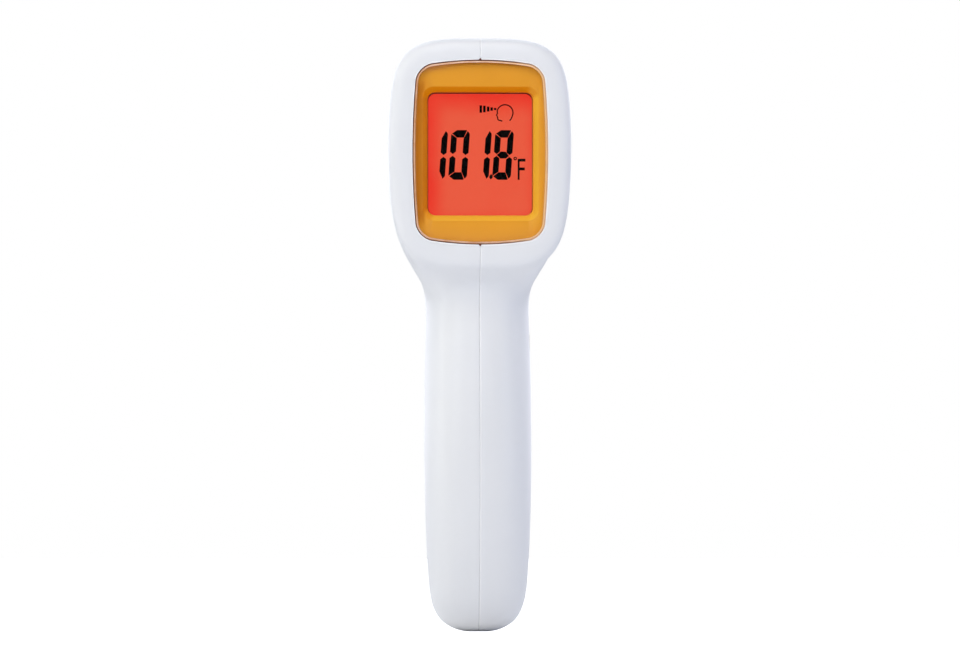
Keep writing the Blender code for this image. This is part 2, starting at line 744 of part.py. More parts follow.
def build_battery_bay():
    """The tray, cells and contacts, all upright in the frame of one leaning empty at the cells' foot."""
    pivot = bpy.data.objects.new("battery_bay", None)
    PARTS.objects.link(pivot)
    pivot.location = Vector(CELL_FOOT) * MM
    pivot.rotation_euler = Euler((-CELL_LEAN, 0, 0))

    top, foot = CELL_LENGTH + 5.8, -2.2
    side_view = [(-7.0, foot), (4.8, foot), (4.8, foot + 1.2), (-5.7, foot + 1.2)]
    side_view += [(-5.7, top), (4.6, top), (4.6, top + 1.4), (-7.0, top + 1.4)]
    tray = lean(plate("battery_tray", side_view, "YZ", -8.6, 8.6, DARK), pivot)
    lug_y, lug_z = DOOR_PIVOT
    for side in (-1, 1):
        near, far = sorted((side * 5.7, side * 7.3))
        lug = rod(f"lug_{side}", 1.6, (near, lug_y, lug_z), (far, lug_y, lug_z), cutter=True, sides=12)
        arm_low, arm_high = (near + 0.1, lug_y - 4.9, lug_z - 1.1), (far - 0.1, lug_y - 0.4, lug_z + 1.2)
        combine(lug, box(f"lug_arm_{side}", arm_low, arm_high, cutter=True), "UNION")
        hole = rod(f"lug_hole_{side}", 0.95, (near - 2, lug_y, lug_z), (far + 2, lug_y, lug_z), cutter=True, sides=12)
        combine(lug, hole)
        combine(tray, lug, "UNION")

    nub, crimp = 1.0, 0.5
    cell_profile = [
        (0, 0),
        (CELL_RADIUS - crimp, 0),
        (CELL_RADIUS, crimp),
        (CELL_RADIUS, CELL_LENGTH - nub - crimp),
        (CELL_RADIUS - crimp, CELL_LENGTH - nub),
        (1.9, CELL_LENGTH - nub),
        (1.9, CELL_LENGTH),
        (0, CELL_LENGTH),
    ]
    spring_room = 4.0
    right = turned("right_battery", cell_profile, (CELL_SPACING, 0, spring_room), (0, 0, 1), CELL, steps=20)
    left = turned("left_battery", cell_profile, (-CELL_SPACING, 0, CELL_LENGTH + 0.4), (0, 0, -1), CELL, steps=20)
    contact_z = spring_room + CELL_LENGTH + FIT_GAP
    positive = box(
        "positive_contact", (CELL_SPACING - 3, -3.2, contact_z), (CELL_SPACING + 3, 3.2, contact_z + 0.4), BRASS
    )
    top_spring = tube(
        "upper_battery_spring",
        coil((-CELL_SPACING, 0, CELL_LENGTH + 1.1), (0, 0, 1), 3.9, 1.8, 3.2, 3.0),
        0.35,
        STEEL,
        resolution=1,
    )
    bridge = box("bridge_contact", (-8.2, -2.6, -0.7), (8.2, 2.6, -0.3), BRASS)
    foot_spring = tube(
        "lower_battery_spring",
        coil((CELL_SPACING, 0, 0.4), (0, 0, 1), 2.9, 3.2, 1.8, 3.0),
        0.35,
        STEEL,
        resolution=1,
    )
    for piece in (right, left, positive, top_spring, bridge, foot_spring):
        lean(piece, pivot)


def build_battery_door(outer, inner):
    """A curved cover cut from the handle's own wall, with a hinge barrel along its lower edge."""
    y, z = DOOR_PIVOT
    door = place(bpy.data.objects.new("battery_door", outer.copy()), WHITE)
    door.data.shade_smooth()
    door.data.set_sharp_from_angle(angle=math.radians(35))
    wall_inside = place(bpy.data.objects.new("door_inside", inner.copy()), cutter=True)
    combine(door, wall_inside)
    edge = door_opening(DOOR_HALF_WIDTH, z + 0.1, DOOR_TOP, "door_edge")
    combine(edge, box("barrel_room", (-7.65, -30, z - 5), (7.65, 10, z + 1.3), cutter=True))
    for side in (-1, 1):
        near, far = sorted((side * 5.35, side * 7.65))
        combine(edge, box(f"lug_notch_{side}", (near, -31, z - 6), (far, 11, z + 2.2), cutter=True))
    combine(door, edge, "INTERSECT")
    door.modifiers.new("weld", "WELD").merge_threshold = 0.000005
    door.modifiers.new("triangulate", "TRIANGULATE")
    barrel = rod("door_barrel", 1.8, (-5.2, y, z), (5.2, y, z), cutter=True, sides=16)
    combine(barrel, rod("door_pin_hole", 1.0, (-6, y, z), (6, y, z), cutter=True, sides=12))
    combine(door, barrel, "UNION")
    for rib_z in (56.5, 58.5, 60.5):
        rib_y = -5.75 + (rib_z - 58.5) * 0.16
        rib = rod(f"grip_rib_{rib_z}", 0.9, (-4.5, rib_y, rib_z), (4.5, rib_y, rib_z), cutter=True, sides=8)
        combine(door, rib, "UNION")
    rod("door_pin", 0.7, (-7.2, y, z), (7.2, y, z), STEEL, sides=12)


# ---------------------------------------------------------------- wires and screws


def build_wires(parts_from):
    connector_back = parts_from + 3.6 + FIT_GAP
    lead_ends = (("positive_lead", 7.8, RED_WIRE), ("negative_lead", 4.8, BLACK_WIRE))
    for name, x, material in lead_ends:
        start_x = 4.6 if material is RED_WIRE else -4.6
        points = [
            (start_x, -15.2, 67.2),
            (start_x, -15.6, 71.0),
            (start_x * 0.6 + 1, -17.5, 80.0),
            (x, -19.5, 92.0),
            (x, -21.8, 99.4),
            (x, connector_back + 0.2, 101.6),
        ]
        tube(name, through(points, 3), 0.5, material)
    cable = [
        (-2.0, 20.1, 118.0),
        (-2.2, 17.5, 117.8),
        (-5.0, 4.0, 114.0),
        (-6.5, -10.0, 110.0),
        (-6.7, -19.0, 106.0),
        (-6.7, connector_back + 0.2, 105.0),
    ]
    tube("sensor_cable", through(cable, 3), 0.9, BLACK_WIRE)


def build_screws():
    for number, (y, z) in enumerate(SCREW_PLACES, 1):
        screw = turned(
            f"case_screw_{number}",
            [(0, -5.0), (0.5, -5.0), (0.85, -4.2), (0.85, 6.1), (1.8, 6.1), (1.8, 7.0), (1.2, 7.5), (0, 7.5)],
            (0, y, z),
            (1, 0, 0),
            STEEL,
            steps=12,
        )
        for turn in (0, 1):
            wide, narrow = (1.2, 0.3) if turn else (0.3, 1.2)
            slot = box(
                f"cross_slot_{number}_{turn}", (6.9, y - wide, z - narrow), (8.0, y + wide, z + narrow), cutter=True
            )
            combine(screw, slot)


def main():
    outer = casing_form(levels=1)
    inner = inner_form(outer)
    build_casing(outer, inner)
    parts_from = build_display()
    build_nose()
    build_buttons()
    build_trigger()
    build_battery_bay()
    build_battery_door(outer, inner)
    build_wires(parts_from)
    build_screws()


main()
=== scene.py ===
"""The looks of a pistol-shaped infrared forehead thermometer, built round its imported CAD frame.

Lengths in the constants and profiles are millimetres in the frame's own axes; every mesh is made in metres.
"""

import json
import math

import bmesh
import bpy
from mathutils import Matrix, Vector


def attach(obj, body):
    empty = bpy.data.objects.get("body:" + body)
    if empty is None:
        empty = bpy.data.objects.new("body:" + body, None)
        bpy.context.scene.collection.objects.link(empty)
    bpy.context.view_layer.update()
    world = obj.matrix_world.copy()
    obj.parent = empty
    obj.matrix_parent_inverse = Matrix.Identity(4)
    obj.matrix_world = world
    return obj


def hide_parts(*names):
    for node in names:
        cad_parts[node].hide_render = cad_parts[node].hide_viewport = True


MM = 0.001

# ---------------------------------------------------------------- dimensions shared with the CAD

HEAD_HALF_WIDTH = 22.5
HEAD_TOP = 147.0
HEAD_BOTTOM = 89.0
REAR_Y = -43.0
NOSE_TIP_Y = 43.0
CASE_FRONT_Y = 36.0
NOSE_Z = 122.0
WALL = 1.6

DISPLAY_Z = 118.6
WINDOW_HALF_WIDTH = 16.6
WINDOW_HALF_HEIGHT = 22.65
WINDOW_CORNER = 3.8
WINDOW_BOW_X = 0.064
WINDOW_BOW_Z = 0.069

TRIGGER_PIVOT = (-7.5, 88.5)
TRIGGER_HALF_WIDTH = 6.9
DOOR_PIVOT = (-15.0, 12.0)
DOOR_HALF_WIDTH = 8.9
DOOR_TOP = 63.0
BUTTON_Z = 122.0
BUTTON_ROW = (("mode_button", -24.0, 22.25), ("memory_button", -14.0, 21.95), ("unit_button", -4.0, 21.5))
CELL_RADIUS = 5.15
CELL_SPACING = 5.3
CELL_LENGTH = 44.5
CELL_LEAN = math.radians(7.0)
CELL_FOOT = (0.0, -22.7, 14.2)
SCREW_PLACES = ((-22.0, 139.4), (18.0, 133.4), (14.0, 108.8), (-23.0, 72.0), (-25.0, 6.4))

# The casing's form: rings of points round the head, the loop where the handle joins it, and rings down
# the handle. A head station is y, half width, top, bottom and the roundness of its upper and lower half.
# A handle station is the height of its back and front, its back and front y, its half width and its
# roundness.
ROUND_ANGLES = (0, 26, 51, 77, 103, 129, 154, 180)
SQUARE_ANGLES = (0, 12, 42, 79, 101, 138, 168, 180)
HEAD_STATIONS = (
    *(
        (REAR_Y, HEAD_HALF_WIDTH - inset, HEAD_TOP - inset, HEAD_BOTTOM + inset, 4.3, 3.8)
        for inset in (11, 6.5, 3.4)
    ),
    (REAR_Y + 0.5, HEAD_HALF_WIDTH - 1.2, HEAD_TOP - 1.2, HEAD_BOTTOM + 1.2, 4.2, 3.7),
    (REAR_Y + 2.3, HEAD_HALF_WIDTH, HEAD_TOP, HEAD_BOTTOM, 4.2, 3.7),
    (-36.0, 22.5, 147.0, 89.0, 4.2, 3.7),
    (-24.0, 22.4, 147.0, 89.8, 4.2, 3.7),
    (-9.0, 21.8, 146.4, 91.4, 4.1, 3.6),
    (7.0, 20.8, 144.9, 95.4, 3.5, 3.2),
    (18.0, 19.6, 142.9, 102.4, 2.9, 2.8),
    (27.0, 18.1, 140.6, 104.2, 2.3, 2.3),
    (33.0, 16.8, NOSE_Z + 16.8, NOSE_Z - 16.8, 2.0, 2.0),
    (CASE_FRONT_Y - 0.4, 15.9, NOSE_Z + 15.9, NOSE_Z - 15.9, 2.0, 2.0),
    (CASE_FRONT_Y, 14.6, NOSE_Z + 14.6, NOSE_Z - 14.6, 2.0, 2.0),
    (CASE_FRONT_Y, 12.0, NOSE_Z + 12.0, NOSE_Z - 12.0, 2.0, 2.0),
)
HANDLE_FROM = 5
HANDLE_TO = 8
NECK_LOOP = (
    *((0.0, -37.6, 86.8), (8.6, -37.2, 87.1), (15.2, -33.6, 89.4), (16.8, -22.0, 90.6)),
    *((16.4, -7.5, 91.6), (13.0, 5.6, 95.0), (7.2, 8.4, 97.0), (0.0, 9.0, 97.6)),
)
HANDLE_STATIONS = (
    (83.6, 91.0, -36.7, 3.2, 13.4, 2.5),
    (79.0, 84.0, -36.7, -0.2, 12.6, 2.5),
    (71.5, 74.0, -37.8, -2.8, 13.0, 2.5),
    (60.0, 61.0, -39.6, -5.4, 13.2, 2.5),
    (45.0, 45.0, -41.0, -8.0, 13.3, 2.5),
    (30.0, 30.0, -40.6, -10.0, 13.1, 2.5),
    (18.0, 18.0, -38.9, -11.8, 12.6, 2.5),
    (10.5, 10.5, -37.0, -13.2, 12.1, 2.5),
    (5.6, 5.6, -35.2, -14.4, 11.2, 2.5),
    (2.2, 2.2, -32.8, -16.4, 8.9, 2.4),
    (0.4, 0.4, -29.6, -19.4, 5.4, 2.2),
    (0.0, 0.0, -27.4, -21.4, 2.6, 2.2),
)

# ---------------------------------------------------------------- dimensions of the fine detail

FORM_LEVELS = 3
SEAM_HALF_GAP = 0.038
# The width and depth of the rounding on each half's edge at the seam, by side.
SEAM_EDGES = {-1: (0.10, 0.08), 1: (0.36, 0.17)}
LIP_RADIUS = 0.09
TRIM_GAP = 0.52
BEZEL_FACE_Y = REAR_Y + 1.6
LCD_FACE_Y = REAR_Y + 5.7
LCD_MIDDLE = (0.1, DISPLAY_Z - 0.32)
LCD_HALF_WIDTH = 13.05
LCD_HALF_HEIGHT = 15.27
LCD_CORNER = 1.9

# The display's figures. They are upright until the last step, which slants them about their middle height.
# RIGHT_DROP is how much lower the right uprights meet than the left ones.
FIGURE_TOP = 124.28
FIGURE_BOTTOM = 111.97
FIGURE_WIDTH = 4.61
FIGURE_SLANT = 0.07
UPRIGHT_STROKE = 1.47
LEVEL_STROKE = 1.86
RIGHT_DROP = 0.26

# Plain raised signs, as (along, up) from each button's middle: three bars, a triangle and two uprights.
BUTTON_MARKS = {
    "mode_button": [
        [(-1.3, v - 0.2), (1.3, v - 0.2), (1.3, v + 0.2), (-1.3, v + 0.2)] for v in (-0.9, 0.0, 0.9)
    ],
    "memory_button": [[(-1.2, -0.8), (1.2, -0.8), (0.0, 1.25)]],
    "unit_button": [
        [(u - 0.28, -0.9), (u + 0.28, -0.9), (u + 0.28, 0.9), (u - 0.28, 0.9)] for u in (-0.8, 0.8)
    ],
}

# ---------------------------------------------------------------- the studio

CAMERA_DISTANCE = 2.2
CAMERA_TURN = math.radians(2.0)
CAMERA_RISE = math.radians(-1.3)
CAMERA_AIM = (0.0, REAR_Y + 3, 74.6846)
VIEW_WIDTH = 237.408
SENSOR_WIDTH = 36.0

LIT_POINT = (0, -0.035, 0.105)
FLOOR_GLOW = 0.9
BACKDROP_GLOW = 1.72
ROOM_GLOW = 0.03
# Name, place and size in metres, power in watts and colour.
LIGHTS = (
    ("key", (-0.50, -0.72, 0.50), (0.55, 0.55), 1.46, (0.96, 1.0, 0.98)),
    ("key_left", (-0.95, -0.72, 0.62), (0.7, 0.7), 1.25, (0.96, 1.0, 0.97)),
    ("front", (0.05, -0.9, 0.55), (0.5, 0.4), 1.53, (0.84, 0.86, 1.0)),
    ("top_front", (0.0, -0.7, 0.95), (0.8, 0.6), 4.12, (1.0, 0.94, 0.84)),
    ("top", (0.0, 0.1, 1.1), (1.2, 1.2), 1.92, (0.52, 0.70, 1.0)),
    ("top_left", (-0.6, -0.3, 0.95), (0.7, 0.7), 1.08, (0.93, 0.92, 1.0)),
    ("left", (-1.1, 0.05, 0.35), (0.6, 0.8), 2.35, (0.99, 1.0, 0.95)),
    ("right", (1.1, 0.1, 0.35), (0.6, 0.8), 1.26, (0.77, 0.80, 1.0)),
    ("fill", (0.9, -0.6, 0.25), (0.6, 0.8), 1.74, (0.60, 0.73, 1.0)),
)


# ---------------------------------------------------------------- shader nodes


def srgb(red, green, blue):
    """A linear colour from 0 to 255 sRGB values."""
    shares = [value / 255 for value in (red, green, blue)]
    linear = [share / 12.92 if share <= 0.04045 else ((share + 0.055) / 1.055) ** 2.4 for share in shares]
    return (*linear, 1.0)


class Look:
    """One procedural material, or the world, and short ways to wire its nodes."""

    def __init__(self, name, library=None):
        self.holder = (bpy.data.materials if library is None else library).new(name)
        self.holder.use_nodes = True
        self.tree = self.holder.node_tree
        self.shader = self.tree.nodes.get("Principled BSDF")
        self.output = next(node for node in self.tree.nodes if node.name.endswith("Output"))
        self.coordinates = self.node("ShaderNodeTexCoord")
        self.place = self.coordinates.outputs["Object"]

    def node(self, kind, **settings):
        made = self.tree.nodes.new(kind)
        for key, value in settings.items():
            setattr(made, key, value)
        return made

    def plug(self, socket, value):
        if isinstance(value, bpy.types.NodeSocket):
            self.tree.links.new(value, socket)
        else:
            socket.default_value = value

    def set(self, **values):
        """Sets or links sockets of the main shader, named with underscores for spaces."""
        for key, value in values.items():
            self.plug(self.shader.inputs[key.replace("_", " ")], value)
        return self

    def noise(self, scale, detail=2.0, roughness=0.5, place=None):
        made = self.node("ShaderNodeTexNoise")
        self.plug(made.inputs["Vector"], place or self.place)
        for key, value in (("Scale", scale), ("Detail", detail), ("Roughness", roughness)):
            made.inputs[key].default_value = value
        return made.outputs["Fac"]

    def stretched(self, x, y, z):
        made = self.node("ShaderNodeMapping")
        self.plug(made.inputs["Vector"], self.place)
        made.inputs["Scale"].default_value = (x, y, z)
        return made.outputs["Vector"]

    def axis(self, letter, place=None):
        made = self.node("ShaderNodeSeparateXYZ")
        self.plug(made.inputs[0], place or self.place)
        return made.outputs[letter]

    def math(self, operation, first, second=0.0, third=0.0, clamp=False):
        made = self.node("ShaderNodeMath", operation=operation, use_clamp=clamp)
        for socket, value in zip(made.inputs, (first, second, third)):
            self.plug(socket, value)
        return made.outputs[0]

    def span(self, value, from_low, from_high, to_low=0.0, to_high=1.0, smooth=False):
        made = self.node("ShaderNodeMapRange", interpolation_type="SMOOTHSTEP" if smooth else "LINEAR")
        for socket, number in zip(made.inputs, (value, from_low, from_high, to_low, to_high)):
            self.plug(socket, number)
        return made.outputs["Result"]

    def patches(self, scale, detail, low=0.0, high=1.0, roughness=0.5, place=None):
        """Noise whose usual range is spread from low to high."""
        return self.span(self.noise(scale, detail, roughness, place), 0.3, 0.7, low, high)

    def mix(self, share, first, second, blend="MIX"):
        made = self.node("ShaderNodeMix", data_type="RGBA", blend_type=blend)
        for number, value in ((0, share), (6, first), (7, second)):
            self.plug(made.inputs[number], value)
        return made.outputs[2]

    def facing(self, normal, direction):
        """How far a normal points along a direction, from -1 to 1."""
        made = self.node("ShaderNodeVectorMath", operation="DOT_PRODUCT")
        self.plug(made.inputs[0], normal)
        self.plug(made.inputs[1], direction)
        return made.outputs["Value"]

    def edges(self, reach_mm):
        """A broken mask of the piece's edges, from 0 on flat faces to 1, within this reach."""
        rounded = self.node("ShaderNodeBevel", samples=4)
        rounded.inputs["Radius"].default_value = reach_mm * MM
        flat = self.node("ShaderNodeNewGeometry").outputs["Normal"]
        found = self.span(self.facing(rounded.outputs[0], flat), 0.90, 0.995, 1.0, 0.0)
        return self.math("MULTIPLY", found, self.span(self.noise(500.0, 3.0), 0.35, 0.6, 0.5, 1.0))

    def bump(self, height, strength, distance_mm, below=None):
        made = self.node("ShaderNodeBump")
        self.plug(made.inputs["Height"], height)
        made.inputs["Strength"].default_value = strength
        made.inputs["Distance"].default_value = distance_mm * MM
        if below:
            self.plug(made.inputs["Normal"], below)
        return made.outputs["Normal"]

    def grain(self, scale, detail, strength, distance_mm, roughness=0.5, below=None):
        return self.bump(self.noise(scale, detail, roughness), strength, distance_mm, below)

    def layer(self, share, under, over):
        """Makes the output show one shader over another by this share."""
        both = self.node("ShaderNodeMixShader")
        for socket, value in zip(both.inputs, (share, under.outputs[0], over.outputs[0])):
            self.plug(socket, value)
        self.plug(self.output.inputs["Surface"], both.outputs[0])


# ---------------------------------------------------------------- materials


def moulded_plastic(
    name,
    colour,
    shade,
    roughness,
    spread=0.05,
    grain=0.05,
    grain_mm=0.16,
    waves=0.0,
    rubbed_colour=None,
    **shader,
):
    """Injection-moulded plastic: tint drift, spark-eroded grain, faint flow waves, and edges rubbed smooth and
    lighter, partly wear and partly a painted highlight.
    """
    look = Look(name)
    rubbed = look.edges(0.3)
    scuffs = look.patches(
        240.0, 5.0, roughness - spread, roughness + spread, roughness=0.7, place=look.stretched(1.0, 1.0, 0.35)
    )
    normal = look.grain(1000 / grain_mm, 2.0, grain, 0.02, 0.6)
    if waves:
        normal = look.grain(60.0, 1.0, waves, 0.25, below=normal)
    look.set(
        # Edges within 0.3 mm turn lighter: partly wear, partly a painted highlight along the edges.
        Base_Color=look.mix(
            look.math("MULTIPLY", rubbed, 0.9),
            look.mix(look.patches(38.0, 3.0), colour, shade),
            rubbed_colour or tuple(min(channel * 1.12 + 0.01, 1.0) for channel in colour),
        ),
        Roughness=look.math("SUBTRACT", scuffs, look.math("MULTIPLY", rubbed, roughness * 0.1)),
        Normal=normal,
        **shader,
    )
    return look


def white_plastic(name, colour, shade, roughness):
    # Near-white edges: mostly a painted highlight along the edges, partly wear.
    worn_highlight_white = (0.95, 0.95, 0.955, 1)
    surface = dict(spread=0.02, grain=0.10, grain_mm=0.22, waves=0.012, rubbed_colour=worn_highlight_white, IOR=1.5)
    return moulded_plastic(name, colour, shade, roughness, **surface)


def metal(name, colour, shade, roughness, along=(1.0, 1.0, 1.0)):
    """Worked metal: fine lines of turning or drawing, duller patches and edges rubbed bright."""
    look = Look(name)
    patches = look.noise(180.0, 4.0, 0.6)
    lines = look.noise(2600.0, 3.0, 0.6, place=look.stretched(*along))
    return look.set(
        Base_Color=look.mix(look.edges(0.15), look.mix(look.span(patches, 0.3, 0.7), colour, shade), colour),
        Metallic=1.0,
        Roughness=look.span(patches, 0.3, 0.75, roughness - 0.05, roughness + 0.12),
        Normal=look.bump(lines, 0.12, 0.01),
    )


def circuit_board():
    """Green solder mask over copper tracks that show as slightly raised, lighter lines."""
    look = Look("green_board")
    cells = look.node("ShaderNodeTexVoronoi", feature="F1", distance="MANHATTAN")
    look.plug(cells.inputs["Vector"], look.stretched(1.0, 0.35, 1.0))
    cells.inputs["Scale"].default_value = 420.0
    tracks = look.span(look.math("FRACT", look.math("MULTIPLY", cells.outputs["Distance"], 3.0)), 0.35, 0.5)
    return look.set(
        Base_Color=look.mix(tracks, (0.010, 0.105, 0.035, 1), (0.022, 0.19, 0.060, 1)),
        Roughness=look.patches(300.0, 3.0, 0.30, 0.42),
        Normal=look.bump(tracks, 0.3, 0.03),
        Coat_Weight=0.3,
        Coat_Roughness=0.15,
    )


def display_light():
    """The lit display: saturated red near its edges and orange red over its middle."""
    look = Look("lcd_glass")
    across = look.math("ABSOLUTE", look.math("SUBTRACT", look.axis("X"), 1.5 * MM))
    up = look.math("ABSOLUTE", look.math("SUBTRACT", look.axis("Z"), (DISPLAY_Z - 2.5) * MM))
    near_side = look.span(across, 9.0 * MM, 14.6 * MM, smooth=True)
    near_end = look.span(up, 10.5 * MM, 17.6 * MM, smooth=True)
    both = look.math("MULTIPLY", near_side, near_end)
    edge = look.math("SUBTRACT", look.math("ADD", near_side, near_end), both)
    share = look.math("ADD", edge, look.patches(90.0, 2.0, -0.12, 0.12), clamp=True)
    colour = look.mix(share, srgb(234, 90, 63), srgb(235, 56, 40))
    return look.set(
        Base_Color=(0.012, 0.003, 0.002, 1),
        Roughness=look.patches(800.0, 2.0, 0.32, 0.4),
        Emission_Color=look.mix(1.0, colour, look.patches(5200.0, 1.0, 0.97, 1.03), "MULTIPLY"),
        Emission_Strength=1.0,
        Normal=look.grain(5200.0, 1.0, 0.05, 0.01),
        Specular_IOR_Level=0.12,
    )


def display_ink():
    look = Look("figure_ink")
    return look.set(
        Base_Color=look.mix(look.patches(900.0, 2.0), (0.0005, 0.0004, 0.0004, 1), (0.001, 0.0008, 0.0008, 1)),
        Roughness=look.patches(1500.0, 2.0, 0.4, 0.55),
        Specular_IOR_Level=0.05,
    )


def clear_acrylic():
    """A clear pane: it mirrors a little at its face and lets everything else straight through."""
    look = Look("clear_window")
    mirror = look.node("ShaderNodeBsdfGlossy")
    mirror.inputs["Roughness"].default_value = 0.04
    look.plug(mirror.inputs["Normal"], look.grain(70.0, 1.0, 0.02, 0.2))
    through = look.node("ShaderNodeBsdfTransparent")
    tint = look.mix(look.patches(40.0, 1.0), (0.985, 0.98, 0.975, 1), (0.995, 0.99, 0.985, 1))
    look.plug(through.inputs["Color"], tint)
    share = look.node("ShaderNodeFresnel")
    share.inputs["IOR"].default_value = 1.13
    look.layer(share.outputs[0], through, mirror)
    look.tree.nodes.remove(look.shader)
    return look


def edge_painted_refraction():
    """The pane's cut and polished edge, its colour a painted refraction of the amber behind it and a painted
    highlight from the white round it.
    """
    look = Look("edge_painted_refraction")
    streaks = look.noise(300.0, 3.0, 0.6)
    # Pinker and streaked on the left, orange on the right: painted refraction and highlight that change with
    # the light's side.
    left = look.mix(look.span(streaks, 0.35, 0.65), (0.62, 0.29, 0.13, 1), (0.76, 0.46, 0.29, 1))
    return look.set(
        Base_Color=look.mix(look.span(look.axis("X"), 4.0 * MM, 15.0 * MM), left, (0.88, 0.54, 0.25, 1)),
        Roughness=look.span(streaks, 0.3, 0.7, 0.10, 0.2),
        Normal=look.bump(streaks, 0.1, 0.05),
        Coat_Weight=0.8,
        Coat_Roughness=0.05,
    )


def amber_plastic():
    """Clear amber moulding, deep brown orange in painted shade where it faces away from the light and near the
    left and top edges, with a painted highlight and faint painted glow where it faces the light.
    """
    look = Look("amber_plastic")
    across = look.math("DIVIDE", look.axis("X"), WINDOW_HALF_WIDTH * MM)
    up = look.math("DIVIDE", look.math("SUBTRACT", look.axis("Z"), DISPLAY_Z * MM), WINDOW_HALF_HEIGHT * MM)
    across_bow = look.math("MULTIPLY_ADD", look.math("MULTIPLY", up, up), -WINDOW_BOW_X, third=1.0)
    up_bow = look.math("MULTIPLY_ADD", look.math("MULTIPLY", across, across), -WINDOW_BOW_Z, third=1.0)
    edge_across = look.math("DIVIDE", across, across_bow)
    edge_up = look.math("DIVIDE", up, up_bow)
    # Painted shade on slopes facing away from the light, a painted highlight on slopes facing it.
    away = look.facing(look.node("ShaderNodeNewGeometry").outputs["Normal"], (0.72, 0.0, -0.70))
    shaded = look.span(away, 0.12, 0.5, smooth=True)
    glowing = look.span(away, -0.5, -0.12, 1.0, 0.0, smooth=True)
    uneven = look.patches(150.0, 3.0, 0.75, 1.0, 0.6)
    # Painted refraction tint of the pane's edge down the left edge, uneven.
    left = look.math("MULTIPLY", look.span(edge_across, -0.99, -0.94, 1.0, 0.0, smooth=True), uneven)
    off_ends = look.span(look.math("ABSOLUTE", edge_up), 0.72, 0.90, 1.0, 0.0, smooth=True)
    left_painted_shade = look.math("MULTIPLY", look.span(edge_across, -0.89, -0.82, 1.0, 0.0, smooth=True), off_ends)
    to_left, to_top = look.span(edge_across, -0.85, -0.3, 1.0, 0.0), look.span(edge_up, 0.90, 0.97)
    top_left_painted_refraction = look.math("MULTIPLY", to_left, to_top)
    upper_slope = look.span(edge_up, 0.60, 0.68, smooth=True)
    body = look.mix(look.patches(38.0, 3.0), (0.88, 0.40, 0.030, 1), (0.84, 0.37, 0.025, 1))
    for share, colour in (
        (look.span(edge_up, -0.98, -0.80, 0.5, 0.0), (0.80, 0.36, 0.045, 1)),
        (look.span(edge_across, 0.93, 0.99, 0.0, 0.6, smooth=True), (0.86, 0.46, 0.13, 1)),
        # Painted shadow of the casing's lip along the top edge.
        (look.span(edge_up, 0.945, 0.975, smooth=True), (0.58, 0.20, 0.006, 1)),
        # Painted shade down the left side.
        (left_painted_shade, (0.62, 0.21, 0.008, 1)),
        # Painted refraction tint of the pane's edge down the left edge and at the top left.
        (look.math("MAXIMUM", left, top_left_painted_refraction), (0.70, 0.29, 0.095, 1)),
        # Painted shade on slopes facing away from the light.
        (shaded, look.mix(upper_slope, (0.70, 0.25, 0.012, 1), (0.85, 0.31, 0.0, 1))),
        # Painted highlight on slopes facing the light.
        (glowing, (0.92, 0.54, 0.048, 1)),
    ):
        body = look.mix(share, body, colour)
    return look.set(
        Base_Color=body,
        Roughness=look.patches(240.0, 5.0, 0.33, 0.40, 0.7),
        Normal=look.grain(5000.0, 2.0, 0.10, 0.02, 0.6),
        IOR=1.3,
        # A faint painted glow, stronger on the slopes that face the light and redder on shaded slopes.
        Emission_Color=look.mix(shaded, (0.9, 0.42, 0.015, 1), (0.5, 0.16, 0.0, 1)),
        Emission_Strength=look.span(glowing, 0.0, 1.0, 0.045, 0.08),
    )


def gap_painted_shade():
    """A strip in the gap round the pane, coloured as painted shade: dark brown, fading to a pale pink painted
    highlight on the side towards the right.
    """
    look = Look("gap_painted_shade")
    blotches = look.patches(500.0, 3.0)
    pale = look.span(look.axis("X"), 6.0 * MM, 15.5 * MM, smooth=True)
    return look.set(
        Base_Color=look.mix(pale, look.mix(blotches, srgb(120, 62, 42), srgb(92, 44, 28)), srgb(232, 200, 178)),
        Roughness=look.span(blotches, 0.0, 1.0, 0.5, 0.65),
        Normal=look.grain(2400.0, 2.0, 0.2, 0.02),
    )


def panel_rim_painted_shade():
    """The lit panel's rim, coloured as painted light: dark brown painted shade along its top, warmer down its
    sides and a bright painted highlight along its foot.
    """
    look = Look("panel_rim_painted_shade")
    height = look.axis("Z")
    # Painted highlight along the foot and painted shade along the top.
    low = look.span(height, (DISPLAY_Z - 14.6) * MM, (DISPLAY_Z - 15.2) * MM)
    high = look.span(height, (DISPLAY_Z + 13.2) * MM, (DISPLAY_Z + 14.4) * MM)
    right = look.span(look.axis("X"), 6.0 * MM, 12.6 * MM)
    spots = look.patches(600.0, 3.0)
    side = look.mix(right, look.mix(spots, srgb(150, 58, 8), srgb(132, 48, 6)), srgb(172, 98, 22))
    return look.set(
        Base_Color=look.mix(low, look.mix(high, side, srgb(104, 34, 2)), srgb(236, 150, 60)),
        Roughness=look.span(spots, 0.0, 1.0, 0.45, 0.6),
        Normal=look.grain(2400.0, 2.0, 0.15, 0.02),
    )


def cell_jacket():
    """A plain battery film: a dark green body with a copper-coloured band at its nub end and a thin ring."""
    look = Look("cell_jacket")
    height = look.axis("Z")
    band = look.math("GREATER_THAN", height, 33.0 * MM)
    above, below = look.math("GREATER_THAN", height, 31.6 * MM), look.math("LESS_THAN", height, 32.4 * MM)
    body = look.mix(look.patches(60.0, 2.0), (0.012, 0.060, 0.040, 1), (0.016, 0.075, 0.050, 1))
    banded = look.mix(band, body, (0.62, 0.30, 0.12, 1))
    return look.set(
        Base_Color=look.mix(look.math("MULTIPLY", above, below), banded, (0.80, 0.80, 0.78, 1)),
        Metallic=look.math("MULTIPLY", band, 0.7),
        Roughness=look.patches(220.0, 4.0, 0.20, 0.32),
        Normal=look.grain(90.0, 1.0, 0.08, 0.1),
        Coat_Weight=0.4,
        Coat_Roughness=0.12,
    )


